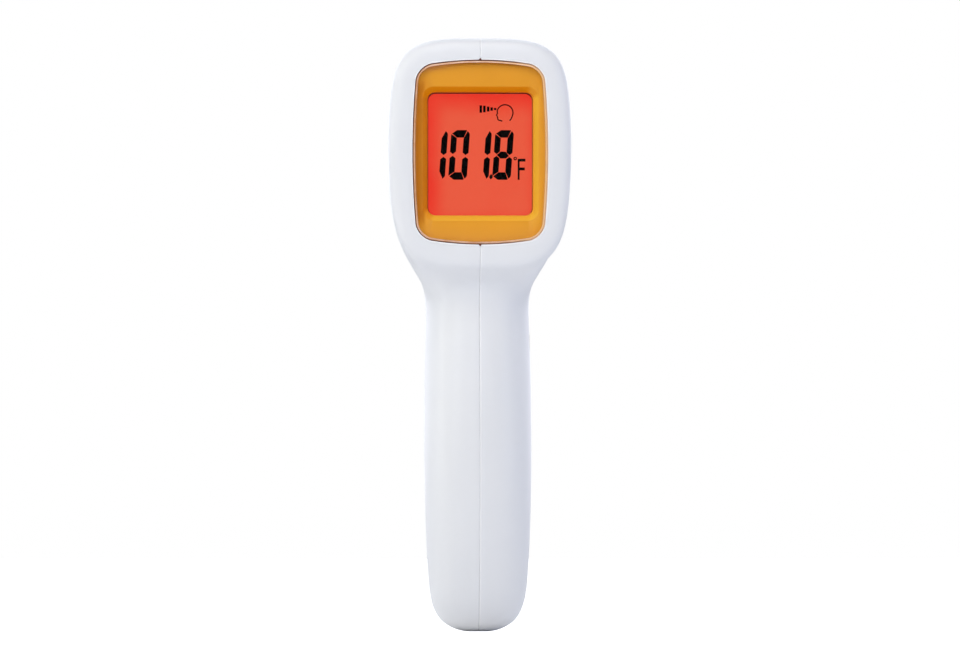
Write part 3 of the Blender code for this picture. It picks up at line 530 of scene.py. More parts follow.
def zebra_rubber():
    """The display's connector strip: thin dark and pale stripes in turn."""
    look = Look("zebra_rubber")
    stripes = look.span(look.math("PINGPONG", look.axis("X"), 0.12 * MM), 0.03 * MM, 0.08 * MM)
    return look.set(
        Base_Color=look.mix(stripes, (0.02, 0.02, 0.02, 1), (0.45, 0.44, 0.42, 1)),
        Roughness=look.patches(700.0, 2.0, 0.6, 0.75),
        Normal=look.grain(2500.0, 2.0, 0.1, 0.02),
    )


# Each material is named after its place in this table.
PLASTICS = {
    "orange_plastic": (srgb(235, 128, 28), srgb(228, 120, 24), 0.38, dict(grain=0.14, grain_mm=0.25, IOR=1.49)),
    "light_guide": ((0.80, 0.78, 0.73, 1), (0.84, 0.82, 0.78, 1), 0.5, dict(grain=0.2)),
    "black_plastic": ((0.018, 0.018, 0.020, 1), (0.028, 0.028, 0.030, 1), 0.45, dict(grain=0.3)),
    "grey_plastic": ((0.42, 0.43, 0.45, 1), (0.46, 0.47, 0.49, 1), 0.42, dict(grain=0.25, grain_mm=0.18)),
    "silicon_filter": (
        *((0.05, 0.045, 0.07, 1), (0.08, 0.05, 0.09, 1), 0.10),
        dict(spread=0.03, grain=0.02, Metallic=0.6),
    ),
    "red_wire": ((0.52, 0.020, 0.015, 1), (0.60, 0.030, 0.020, 1), 0.42, dict(grain=0.15)),
    "black_wire": ((0.016, 0.016, 0.017, 1), (0.024, 0.024, 0.025, 1), 0.42, dict(grain=0.15)),
}
LOOKS = {
    "white_plastic": white_plastic("white_plastic", (0.800, 0.806, 0.822, 1), (0.815, 0.819, 0.832, 1), 0.335),
    # A lighter copy of the white plastic, a painted highlight: it colours the bead round the window and the
    # strip beside the seam.
    "highlight_white": white_plastic("highlight_white", (0.965, 0.965, 0.97, 1), (0.975, 0.975, 0.98, 1), 0.33),
    "bright_steel": metal("bright_steel", (0.66, 0.66, 0.67, 1), (0.56, 0.56, 0.58, 1), 0.24, (0.2, 1.0, 1.0)),
    "nickel_brass": metal("nickel_brass", (0.80, 0.72, 0.54, 1), (0.70, 0.60, 0.42, 1), 0.24, (1.0, 0.15, 1.0)),
    "amber_plastic": amber_plastic(),
    "clear_window": clear_acrylic(),
    "lcd_glass": display_light(),
    "figure_ink": display_ink(),
    "edge_painted_refraction": edge_painted_refraction(),
    "gap_painted_shade": gap_painted_shade(),
    "panel_rim_painted_shade": panel_rim_painted_shade(),
    "green_board": circuit_board(),
    "zebra_rubber": zebra_rubber(),
    "cell_jacket": cell_jacket(),
}
for plastic, (colour, shade, roughness, surface) in PLASTICS.items():
    LOOKS[plastic] = moulded_plastic(plastic, colour, shade, roughness, **surface)


# ---------------------------------------------------------------- making meshes


def placed(name, data):
    """A new object in the scene."""
    obj = bpy.data.objects.new(name, data)
    bpy.context.scene.collection.objects.link(obj)
    return obj


def smooth(mesh, sharp):
    """Smooth shading, except at edges sharper than this angle."""
    mesh.shade_smooth()
    mesh.set_sharp_from_angle(angle=math.radians(sharp))


def to_object(name, shape, sharp=35.0):
    """An object from a bmesh, its faces turned outwards."""
    bmesh.ops.recalc_face_normals(shape, faces=shape.faces)
    mesh = bpy.data.meshes.new(name)
    shape.to_mesh(mesh)
    shape.free()
    smooth(mesh, sharp)
    return placed(name, mesh)


def evaluated_mesh(obj):
    """The mesh that an object's modifiers, or a curve's own thickness, give it."""
    bpy.context.view_layer.update()
    graph = bpy.context.evaluated_depsgraph_get()
    return bpy.data.meshes.new_from_object(obj.evaluated_get(graph), depsgraph=graph)


def bake(obj):
    """Puts the modifiers' result into the object's own mesh."""
    mesh = evaluated_mesh(obj)
    obj.modifiers.clear()
    obj.data = mesh
    return obj


def subdivide(obj, levels):
    modifier = obj.modifiers.new("subdivide", "SUBSURF")
    modifier.levels = modifier.render_levels = levels
    return bake(obj)


def carve(target, *others, operation="DIFFERENCE", keep=False):
    """Cuts the others from target one after the other, or joins or crosses them, and bakes the result."""
    for other in others:
        modifier = target.modifiers.new("carve", "BOOLEAN")
        modifier.operation = operation
        modifier.object = other
        modifier.solver = "EXACT"
        bake(target)
        if not keep:
            bpy.data.objects.remove(other)
    return target


def copy_of(obj, name):
    return placed(name, obj.data.copy())


def loft(name, sections, closed_ends=True, cyclic=False, sharp=35.0):
    """A solid between rings of equal point counts. cyclic joins the last ring to the first."""
    shape = bmesh.new()
    rings = [[shape.verts.new(Vector(p) * MM) for p in section] for section in sections]
    pairs = list(zip(rings, rings[1:]))
    if cyclic:
        pairs.append((rings[-1], rings[0]))
    for ring, following in pairs:
        for i in range(len(ring)):
            j = (i + 1) % len(ring)
            shape.faces.new((ring[i], ring[j], following[j], following[i]))
    if closed_ends and not cyclic:
        shape.faces.new(rings[0])
        shape.faces.new(rings[-1])
    return to_object(name, shape, sharp)


def box(name, low, high, bevel=0.0):
    """A box, its edges rounded by bevel."""
    low, high = Vector(low) * MM, Vector(high) * MM
    shape = bmesh.new()
    bmesh.ops.create_cube(shape, size=1.0)
    bmesh.ops.scale(shape, vec=high - low, verts=shape.verts)
    bmesh.ops.translate(shape, vec=(low + high) / 2, verts=shape.verts)
    if bevel:
        rounding = dict(offset=bevel * MM, segments=2, profile=0.5, affect="EDGES")
        bmesh.ops.bevel(shape, geom=shape.edges[:], **rounding)
    return to_object(name, shape, 30.0)


def arc_corner(profile, radius, steps=4):
    """Rounds each corner of a closed (radius, height) profile by up to this radius, but not on the axis."""
    rounded = []
    for i, corner in enumerate(profile):
        here = Vector(corner)
        to_before = Vector(profile[i - 1]) - here
        to_after = Vector(profile[(i + 1) % len(profile)]) - here
        reach = min(radius, to_before.length * 0.45, to_after.length * 0.45)
        if corner[0] <= 0 or reach < 1e-6:
            rounded.append(tuple(corner))
            continue
        start, end = here + to_before.normalized() * reach, here + to_after.normalized() * reach
        for step in range(steps + 1):
            t = step / steps
            rounded.append(tuple(start * (1 - t) ** 2 + here * 2 * t * (1 - t) + end * t**2))
    return rounded


def turned(name, profile, origin, along, steps=64, sharp=40.0):
    """A turned piece from a closed (radius, distance from origin) profile."""
    turn_to = Vector(along).to_track_quat("Z", "Y")
    shape = bmesh.new()
    columns = []
    for step in range(steps):
        angle = 2 * math.pi * step / steps
        column = []
        for radius, height in profile:
            local = Vector((radius * math.cos(angle), radius * math.sin(angle), height))
            column.append(shape.verts.new((Vector(origin) + turn_to @ local) * MM))
        columns.append(column)
    for one, other in zip(columns, columns[1:] + columns[:1]):
        for i in range(len(profile)):
            j = (i + 1) % len(profile)
            if profile[i][0] > 0 or profile[j][0] > 0:
                shape.faces.new((one[i], one[j], other[j], other[i]))
    bmesh.ops.remove_doubles(shape, verts=shape.verts, dist=1e-7)
    bmesh.ops.dissolve_degenerate(shape, edges=shape.edges, dist=1e-8)
    return to_object(name, shape, sharp)


def rod(name, radius, start, end, steps=32):
    start, end = Vector(start), Vector(end)
    length = (end - start).length
    return turned(name, [(0, 0), (radius, 0), (radius, length), (0, length)], start, end - start, steps)


def tube(name, points, radius):
    """A wire of round section through the points."""
    curve = bpy.data.curves.new(name, "CURVE")
    curve.dimensions = "3D"
    spline = curve.splines.new("POLY")
    spline.points.add(len(points) - 1)
    for target, point in zip(spline.points, points):
        target.co = (*(Vector(point) * MM), 1.0)
    curve.bevel_depth = radius * MM
    curve.bevel_resolution = 4
    curve.use_fill_caps = True
    helper = placed(name, curve)
    shape = bmesh.new()
    shape.from_mesh(evaluated_mesh(helper))
    bpy.data.objects.remove(helper)
    bmesh.ops.remove_doubles(shape, verts=shape.verts, dist=1e-7)
    return to_object(name, shape, 50.0)


def through(points, steps):
    """A smooth line through the points, by Catmull-Rom."""
    points = [Vector(p) for p in points]
    padded = [2 * points[0] - points[1], *points, 2 * points[-1] - points[-2]]
    line = []
    for before, start, end, after in zip(padded, padded[1:], padded[2:], padded[3:]):
        for step in range(steps):
            t = step / steps
            bend = (2 * before - 5 * start + 4 * end - after) * t**2
            twist = (3 * start - before - 3 * end + after) * t**3
            line.append(0.5 * (2 * start + (end - before) * t + bend + twist))
    return [*line, points[-1]]


def coil(start, length, radius_low, radius_high, turns):
    """Points of an upright helix whose radius changes evenly, 28 to a turn."""
    count = int(turns * 28)
    line = []
    for i in range(count + 1):
        share = i / count
        angle = 2 * math.pi * turns * share
        radius = radius_low + (radius_high - radius_low) * share
        across = Vector((radius * math.cos(angle), radius * math.sin(angle), length * share))
        line.append(Vector(start) + across)
    return line


def prism(name, outline, plane, low, high, bevel=0.0, segments=3, sharp=30.0):
    """A flat outline given thickness, from Y=low to Y=high on plane XZ or X=low to X=high on plane YZ."""
    place = {
        "XZ": lambda u, v, depth: Vector((u, depth, v)) * MM,
        "YZ": lambda u, v, depth: Vector((depth, u, v)) * MM,
    }[plane]
    shape = bmesh.new()
    front = [shape.verts.new(place(u, v, low)) for u, v in outline]
    back = [shape.verts.new(place(u, v, high)) for u, v in outline]
    rims = [shape.faces.new(front), shape.faces.new(back[::-1])]
    for i in range(len(outline)):
        j = (i + 1) % len(outline)
        shape.faces.new((front[i], back[i], back[j], front[j]))
    bmesh.ops.recalc_face_normals(shape, faces=shape.faces)
    if bevel:
        edges = list({edge for rim in rims for edge in rim.edges})
        rounding = dict(offset=bevel * MM, segments=segments, profile=0.5, affect="EDGES", clamp_overlap=True)
        bmesh.ops.bevel(shape, geom=edges, **rounding)
    return to_object(name, shape, sharp)


def finish_piece(obj, look, body="case", replaces=None):
    """Gives a piece its material, its body and the CAD node it stands for."""
    obj.data.materials.clear()
    obj.data.materials.append(LOOKS[look].holder)
    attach(obj, body)
    if replaces:
        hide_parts(replaces)
    return obj


# ---------------------------------------------------------------- outlines


def rounded_rectangle(half_width, half_height, corner, steps):
    """Points (x, z) round a rectangle about the origin, each corner an arc of this many steps."""
    points = []
    for across, up, start in ((1, 1, 0), (-1, 1, 90), (-1, -1, 180), (1, -1, 270)):
        for step in range(steps + 1):
            angle = math.radians(start + 90 * step / steps)
            x, z = across * (half_width - corner), up * (half_height - corner)
            points.append((x + corner * math.cos(angle), z + corner * math.sin(angle)))
    return points


def window_outline(half_width, half_height, corner, bow_x, bow_z):
    """A rounded rectangle whose sides bow outwards, as (x, z)."""
    arc_steps, side_steps = 10, 14
    flat = rounded_rectangle(half_width, half_height, corner, arc_steps)
    outline = []
    for i, (x, z) in enumerate(flat):
        outline.append((x, z))
        if i % (arc_steps + 1) == arc_steps:
            next_x, next_z = flat[(i + 1) % len(flat)]
            for step in range(1, side_steps):
                share = step / side_steps
                outline.append((x + (next_x - x) * share, z + (next_z - z) * share))
    return [
        (x * (1 - bow_x * (z / half_height) ** 2), DISPLAY_Z + z * (1 - bow_z * (x / half_width) ** 2))
        for x, z in outline
    ]


def window_ring(offset, y):
    """The display opening's outline moved outwards by offset, as points at this depth."""
    sizes = (WINDOW_HALF_WIDTH + offset, WINDOW_HALF_HEIGHT + offset, WINDOW_CORNER + offset)
    return [(x, y, z) for x, z in window_outline(*sizes, WINDOW_BOW_X, WINDOW_BOW_Z)]


def lcd_ring(offset, y):
    """The lit area's outline moved outwards by offset, with as many points as the window's outline."""
    sizes = (LCD_HALF_WIDTH + offset, LCD_HALF_HEIGHT + offset, LCD_CORNER + offset * 0.6)
    return [(x + LCD_MIDDLE[0], y, z + LCD_MIDDLE[1] - DISPLAY_Z) for x, z in window_outline(*sizes, 0, 0)]


def rounded_slot(name, low, high, corner):
    """A cutter with rounded corners seen along Y."""
    middle_x, middle_z = (high[0] + low[0]) / 2, (high[2] + low[2]) / 2
    points = rounded_rectangle((high[0] - low[0]) / 2, (high[2] - low[2]) / 2, corner, 6)
    return prism(name, [(middle_x + x, middle_z + z) for x, z in points], "XZ", low[1], high[1])


# ---------------------------------------------------------------- the casing's form, as in the CAD


def half_section(first_exponent, last_exponent):
    """Half of a superellipse as (across, along), its two halves with their own exponents."""
    points = []
    for round_angle, square_angle in zip(ROUND_ANGLES, SQUARE_ANGLES):
        exponent = first_exponent if round_angle < 90 else last_exponent
        angle = math.radians(round_angle + (square_angle - round_angle) * (exponent - 2) / 2)
        across = 0.0 if round_angle in (0, 180) else abs(math.sin(angle)) ** (2 / exponent)
        points.append((across, math.copysign(abs(math.cos(angle)) ** (2 / exponent), math.cos(angle))))
    return points


def control_ring(wanted):
    """Moves a ring's points until a smooth curve drawn from them passes through the wanted points."""
    points = [point.copy() for point in wanted]
    flip = Vector((-1, 1, 1))
    for _ in range(12):
        before = points[1] * flip if wanted[0].x == 0 else points[0]
        after = points[-2] * flip if wanted[-1].x == 0 else points[-1]
        line = [before, *points, after]
        points = [
            point + goal - (low + 4 * point + high) / 6
            for low, point, high, goal in zip(line, line[1:], line[2:], wanted)
        ]
    return points


def head_ring(y, half_width, top, bottom, upper_exponent, lower_exponent):
    middle, half_height = (top + bottom) / 2, (top - bottom) / 2
    section = half_section(upper_exponent, lower_exponent)
    ring = [Vector((half_width * across, y, middle + half_height * up)) for across, up in section]
    return control_ring(ring)


def handle_ring(back_z, front_z, back_y, front_y, half_width, exponent):
    middle, half_depth = (back_y + front_y) / 2, (front_y - back_y) / 2
    ring = []
    for across, back in half_section(exponent, exponent):
        z = front_z + (back_z - front_z) * (1 + back) / 2
        ring.append(Vector((half_width * across, middle - half_depth * back, z)))
    return control_ring(ring)


def cap_faces(ring):
    return [(ring[i], ring[i + 1], ring[6 - i], ring[7 - i]) for i in range(3)]


def casing_cage():
    """Control points of the right half of the casing, and the coarse faces between them."""
    rings = [head_ring(*station) for station in HEAD_STATIONS]
    columns = len(ROUND_ANGLES)
    neck_places = [(HANDLE_FROM, column) for column in (7, 6, 5)]
    neck_places += [(station, 5) for station in range(HANDLE_FROM + 1, HANDLE_TO)]
    neck_places += [(HANDLE_TO, column) for column in (5, 6, 7)]
    for (station, column), point in zip(neck_places, NECK_LOOP):
        rings[station][column] = Vector(point)
    points, index = [], {}
    for station, ring in enumerate(rings):
        for column, point in enumerate(ring):
            if not (HANDLE_FROM < station < HANDLE_TO and column > 5):
                index[station, column] = len(points)
                points.append(point)
    faces = []
    for station in range(len(rings) - 1):
        for column in range(columns - 1):
            if not (HANDLE_FROM <= station < HANDLE_TO and column >= 5):
                corners = ((0, 0), (0, 1), (1, 1), (1, 0))
                faces.append([index[station + down, column + on] for down, on in corners])
    for station in (0, len(rings) - 1):
        faces.extend(cap_faces([index[station, column] for column in range(columns)]))
    above = [index[neck_place] for neck_place in neck_places]
    for station in HANDLE_STATIONS:
        ring = handle_ring(*station)
        below = list(range(len(points), len(points) + len(ring)))
        points.extend(ring)
        faces.extend(zip(above, above[1:], below[1:], below))
        above = below
    faces.extend(cap_faces(above))
    return points, faces


def casing_form(levels, name):
    """The casing's outer form as one closed object: a coarse cage, mirrored and subdivided."""
    points, faces = casing_cage()
    shape = bmesh.new()
    verts = [shape.verts.new(point * MM) for point in points]
    for face in faces:
        shape.faces.new([verts[i] for i in face])
    form = to_object(name, shape, 180.0)
    mirror = form.modifiers.new("mirror", "MIRROR")
    mirror.use_clip = True
    mirror.merge_threshold = 0.00001
    return subdivide(form, levels)


def inner_form():
    """The inside of the wall: a coarse form moved inwards, then smoothed."""
    inner = casing_form(1, "inner_form")
    inwards = inner.modifiers.new("inwards", "DISPLACE")
    inwards.strength = -WALL * MM
    inwards.mid_level = 0.0
    return subdivide(inner, FORM_LEVELS - 1)


def half_form(form, side, name):
    """One closed half of the form, its edge at the seam rounded over."""
    shape = bmesh.new()
    shape.from_mesh(form.data)
    width, depth = SEAM_EDGES[side]
    other_side = {"clear_outer": True} if side < 0 else {"clear_inner": True}
    for share in (1.0, 0.5, 0.2, 0.0):
        bmesh.ops.bisect_plane(
            shape,
            geom=[*shape.verts, *shape.edges, *shape.faces],
            dist=1e-8,
            plane_co=(side * (SEAM_HALF_GAP + width * share) * MM, 0, 0),
            plane_no=(1, 0, 0),
            **(other_side if share == 0.0 else {}),
        )
    shape.normal_update()
    moves = []
    for vert in shape.verts:
        share = max(abs(vert.co.x) / MM - SEAM_HALF_GAP, 0.0) / width
        if share < 0.999:
            outwards = Vector((0, vert.normal.y, vert.normal.z)).normalized()
            moves.append((vert, outwards * depth * (1 - math.sqrt(1 - (1 - share) ** 2)) * MM))
    for vert, move in moves:
        vert.co -= move
    bmesh.ops.contextual_create(shape, geom=[edge for edge in shape.edges if edge.is_boundary])
    return to_object(name, shape, 180.0)


# ---------------------------------------------------------------- the casing


def display_cutter():
    """Cuts the display opening, with a rounded lip where it meets the rear face."""
    sections = [window_ring(TRIM_GAP + LIP_RADIUS * 1.6, REAR_Y - 0.6)]
    sections.append(window_ring(TRIM_GAP + LIP_RADIUS, REAR_Y))
    for step in range(1, 5):
        angle = math.radians(90 * step / 4)
        out, back = LIP_RADIUS * (1 - math.sin(angle)), LIP_RADIUS * (1 - math.cos(angle))
        sections.append(window_ring(TRIM_GAP + out, REAR_Y + back))
    sections.append(window_ring(TRIM_GAP, REAR_Y + WALL + 0.5))
    return loft("display_cutter", sections)


def casing_cutters():
    """Everything that is cut from the half shells: openings, button holes and screw wells."""
    door_edge, door_foot = DOOR_HALF_WIDTH + 0.3, DOOR_PIVOT[1] - 3.0
    cutters = [
        display_cutter(),
        rod("nose_opening", 13.5, (0, 30, NOSE_Z), (0, 45, NOSE_Z), 96),
        rounded_slot("trigger_opening", (-7.3, -8.0, 66.9), (7.3, 12.0, 91.4), 1.2),
        rounded_slot("door_opening", (-door_edge, -20.0, door_foot), (door_edge, 2.0, DOOR_TOP + 0.3), 1.5),
    ]
    for name, y, surface in BUTTON_ROW:
        profile = [(0, 5), (3.5, 5), (3.5, surface - 0.35), (3.9, surface + 0.3), (3.9, 30), (0, 30)]
        cutters.append(turned(f"{name}_hole", profile, (0, y, BUTTON_Z), (-1, 0, 0), 64))
    for number, (y, z) in enumerate(SCREW_PLACES, 1):
        profile = [(0, -5.6), (1.15, -5.6), (1.15, 5.8), (2.2, 5.8), (2.2, 40), (0, 40)]
        cutters.append(turned(f"screw_well_{number}", profile, (0, y, z), (1, 0, 0), 48))
    return cutters


def build_casing(form, inner):
    """The two half shells, with their openings, bosses and screw wells."""
    pivot_y, pivot_z = TRIGGER_PIVOT
    cavity = copy_of(inner, "cavity")
    bosses = []
    for number, (y, z) in enumerate(SCREW_PLACES, 1):
        radius = 2.4 if number == len(SCREW_PLACES) else 3.0
        bosses.append(rod(f"boss_{number}", radius, (-30, y, z), (30, y, z)))
    for side in (-1, 1):
        inside, outside = (side * (TRIGGER_HALF_WIDTH + 0.5), pivot_y, pivot_z), (side * 20, pivot_y, pivot_z)
        bosses.append(rod(f"pivot_boss_{side}", 2.3, inside, outside))
    carve(cavity, *bosses)
    cutters = [cavity, *casing_cutters()]
    for name, side, node in (("left_shell", -1, "left_case"), ("right_shell", 1, "right_case")):
        half = carve(half_form(form, side, name), *cutters, keep=True)
        smooth(half.data, 32)
        finish_piece(half, "white_plastic", replaces=node)
    for cutter in cutters:
        bpy.data.objects.remove(cutter)


def seam_loop(form):
    """The form's outline on its middle plane, in order, in millimetres."""
    links = {vertex.index: [] for vertex in form.data.vertices if abs(vertex.co.x) < 1e-7}
    for edge in form.data.edges:
        a, b = edge.vertices
        if a in links and b in links:
            links[a].append(b)
            links[b].append(a)
    loop = [min(links)]
    onward = links[loop[0]][0]
    while onward != loop[0]:
        loop.append(onward)
        onward = next(v for v in links[onward] if v != loop[-2])
    return [form.data.vertices[i].co / MM for i in loop]


def seam_strip(form, name, from_x, to_x, outer_depth, inner_depth):
    """A strip that follows the seam all round the casing, between two depths below its surface."""
    loop = seam_loop(form)
    turned_area = sum(a.y * b.z - b.y * a.z for a, b in zip(loop, loop[1:] + loop[:1]))
    if turned_area < 0:
        loop.reverse()
    near, far = Vector((from_x, 0, 0)), Vector((to_x, 0, 0))
    sections = []
    for i, point in enumerate(loop):
        tangent = (loop[(i + 1) % len(loop)] - loop[i - 1]).normalized()
        inwards = Vector((1, 0, 0)).cross(tangent).normalized()
        low, high = point + inwards * inner_depth, point + inwards * outer_depth
        sections.append([low + far, high + far, high + near, low + near])
    strip = loft(name, sections, cyclic=True)
    rooms = (
        ("window_room", (-3, REAR_Y - 5, DISPLAY_Z - 23.4), (3, REAR_Y + 8, DISPLAY_Z + 23.4)),
        ("nose_room", (-3, 30, NOSE_Z - 13.6), (3, 50, NOSE_Z + 13.6)),
        ("trigger_room", (-3, -9, 66.6), (3, 20, 91.6)),
        ("door_room", (-3, -20, 8.6), (3, 5, 63.6)),
    )
    return carve(strip, *(box(*room) for room in rooms))


def build_seam(form):
    """The strip inside the seam that keeps light out, and a thin strip along the right half's edge in the
    lighter white, a painted highlight.
    """
    tongue = seam_strip(form, "seam_tongue", -0.9 * SEAM_HALF_GAP, 0.9 * SEAM_HALF_GAP, 0.3, 1.1)
    finish_piece(tongue, "white_plastic")
    # A thin strip in the lighter white along the right half's edge: a painted highlight.
    highlight_strip = seam_strip(form, "seam_highlight_strip", SEAM_HALF_GAP + 0.01, SEAM_HALF_GAP + 0.26, 0.005, 0.3)
    finish_piece(highlight_strip, "highlight_white")


def build_door(form, inner):
    """The battery cover, cut from the handle's own wall, with its hinge barrel and finger ribs."""
    y, z = DOOR_PIVOT
    cover = carve(copy_of(form, "battery_cover"), copy_of(inner, "cover_inside"))
    low, high = (-DOOR_HALF_WIDTH, -20.0, z + 0.1), (DOOR_HALF_WIDTH, 2.0, DOOR_TOP)
    edge = rounded_slot("cover_edge", low, high, 1.2)
    carve(edge, box("barrel_room", (-7.65, -30, z - 5), (7.65, 10, z + 1.3)))
    for near, far in ((-7.65, -5.35), (5.35, 7.65)):
        carve(edge, box("lug_notch", (near, -31, z - 6), (far, 11, z + 2.2)))
    carve(cover, edge, operation="INTERSECT")
    barrel = arc_corner([(1.0, 0), (1.8, 0), (1.8, 10.4), (1.0, 10.4)], 0.2)
    carve(cover, turned("barrel", barrel, (-5.2, y, z), (1, 0, 0), 48), operation="UNION")
    rib = arc_corner([(0, 0), (0.9, 0), (0.9, 9.6), (0, 9.6)], 0.6, 6)
    for rib_z in (53.5, 55.5, 57.5, 59.5):
        rib_y = -5.75 + (rib_z - 58.5) * 0.16
        carve(cover, turned("rib", rib, (-4.8, rib_y, rib_z), (1, 0, 0), 32), operation="UNION")
    smooth(cover.data, 32)
    finish_piece(cover, "white_plastic", "battery_door", replaces="battery_door")


# ---------------------------------------------------------------- the display


def build_window():
    """The clear pane, its polished edge coloured as a painted refraction, a dark strip of painted shade in the
    gap round it, a white bead coloured as a painted highlight, and two dark darts of painted shade where the
    seam meets the window.
    """
    pane = [(-0.56, 0.16), (-0.54, 0.17), (-0.50, 1.40), (-0.52, 1.42)]
    edge = [(-0.47, 0.20)]
    for step in range(1, 6):
        angle = math.radians(90 * step / 5)
        edge.append((-0.47 + 0.47 * math.sin(angle), 0.20 + 0.33 * (1 - math.cos(angle))))
    edge += [(0.0, 1.40), (-0.47, 1.40)]
    # A dark strip in the gap between the pane and the casing: painted shade, pale on the right as a painted
    # highlight.
    gap_shade_section = [(0.02, 0.5), (0.19, 0.3), (0.19, 1.5), (0.02, 1.5)]
    # The white bead round the opening, coloured in the lighter white as a painted highlight.
    bead = [(0.21, 1.3), (0.21, 0.1), (0.25, 0.04), (0.47, 0.04), (0.51, 0.1), (0.51, 1.3)]
    made = {}
    for name, section, cyclic, sharp in (
        ("window_pane", pane, False, 20.0),
        ("window_edge", edge, True, 50.0),
        ("window_gap_shade", gap_shade_section, True, 35.0),
        ("window_highlight_bead", bead, True, 50.0),
    ):
        rings = [window_ring(offset, REAR_Y + depth) for offset, depth in section]
        made[name] = loft(name, rings, cyclic=cyclic, sharp=sharp)
    finish_piece(made["window_pane"], "clear_window", replaces="display_window")
    finish_piece(made["window_edge"], "edge_painted_refraction")
    finish_piece(made["window_gap_shade"], "gap_painted_shade")
    # Two dark darts where the seam meets the window's top and foot: painted shade in the notches.
    dart = [(-0.42, 0.17), (0.30, 0.17), (0.06, 0.62), (-0.06, 0.62)]
    for up, place in ((1, "top"), (-1, "foot")):
        edge_z = DISPLAY_Z + up * WINDOW_HALF_HEIGHT
        room = [(x * 1.15, edge_z + up * z * 1.06) for x, z in dart]
        carve(made["window_highlight_bead"], prism("dart_room", room, "XZ", REAR_Y - 0.5, REAR_Y + 0.8))
        outline = [(x, edge_z + up * z) for x, z in dart]
        filled = prism(f"seam_notch_shade_{place}", outline, "XZ", REAR_Y + 0.05, REAR_Y + 0.7)
        finish_piece(filled, "gap_painted_shade")
    finish_piece(made["window_highlight_bead"], "highlight_white")


def build_bezel():
    """The amber frame: a flat face that slopes down to the lit area, and a thin flange behind."""
    face, deep = BEZEL_FACE_Y, LCD_FACE_Y - 0.25
    outer = [(0.6, REAR_Y + 5.2), (0.6, face + 0.1), (0.45, face), (-0.5, face), (-1.0, face + 0.12)]
    slope = [(1.36, face + 0.30), (1.2, face + 0.40), (0.22, face + 1.25), (0.06, face + 1.46)]
    slope.append((0.0, face + 1.75))
    rings = [window_ring(offset, y) for offset, y in outer]
    rings += [lcd_ring(offset, y) for offset, y in [*slope, (0.0, deep), (0.5, deep)]]
    bezel = loft("amber_bezel", rings, cyclic=True, sharp=28.0)
    finish_piece(bezel, "amber_plastic", replaces="display_bezel")


def digit_outlines(shown, left):
    """The lit segments of a seven-segment digit, named in shown by letters from a, the top, round to g."""
    right, top, bottom = left + FIGURE_WIDTH, FIGURE_TOP, FIGURE_BOTTOM
    middle = (top + bottom) / 2
    wide, tall = UPRIGHT_STROKE, LEVEL_STROKE
    level_end = [(left + 0.22, top - 0.86), (left + 1.3, top - 0.06), (left + 1.5, top), (right - 0.9, top)]
    level_end += [(right - 0.74, top - 0.12), (right - 1.43, top - tall), (left + 1.45, top - tall)]
    right_upper = [(right - wide, top - tall - 0.22), (right - 0.56, top - 0.24), (right - 0.12, top - 0.72)]
    right_upper += [(right, top - 1.1)]
    right_lower = [(right, middle + 0.76), (right - wide / 2, middle + 0.22), (right - wide, middle + 0.84)]
    left_upright = [(left + 0.04, top - 1.0), (left + wide, top - 1.98), (left + wide, middle + 0.84)]
    left_upright += [(left + wide / 2, middle + 0.22), (left, middle + 0.76), (left, top - 1.3)]
    level_middle = [(left + 0.74, middle), (left + 1.70, middle + 0.86), (right - 1.70, middle + 0.80)]
    level_middle += [(right - 0.80, middle - RIGHT_DROP), (right - 1.52, middle - 0.86)]
    level_middle += [(left + 1.70, middle - 0.86)]

    def right_upright(drop):
        return right_upper + [(x, z - drop) for x, z in right_lower]

    def mirrored(points):
        return [(x, 2 * middle - z) for x, z in points]

    outlines = {
        "a": level_end,
        "b": right_upright(RIGHT_DROP),
        "c": mirrored(right_upright(-RIGHT_DROP)),
        "d": mirrored(level_end),
        "e": mirrored(left_upright),
        "f": left_upright,
        "g": level_middle,
    }
    return [outlines[name] for name in shown]


def bar(x0, z0, x1, z1):
    return [(x0, z0), (x1, z0), (x1, z1), (x0, z1)]


def stroke_outline(points, width):
    """A line of even width through (x, z) points."""
    points = [Vector(p) for p in points]
    sides = ([], [])
    for i, point in enumerate(points):
        along = (points[min(i + 1, len(points) - 1)] - points[max(i - 1, 0)]).normalized()
        across = Vector((-along.y, along.x)) * width / 2
        sides[0].append(tuple(point + across))
        sides[1].append(tuple(point - across))
    return sides[0] + sides[1][::-1]


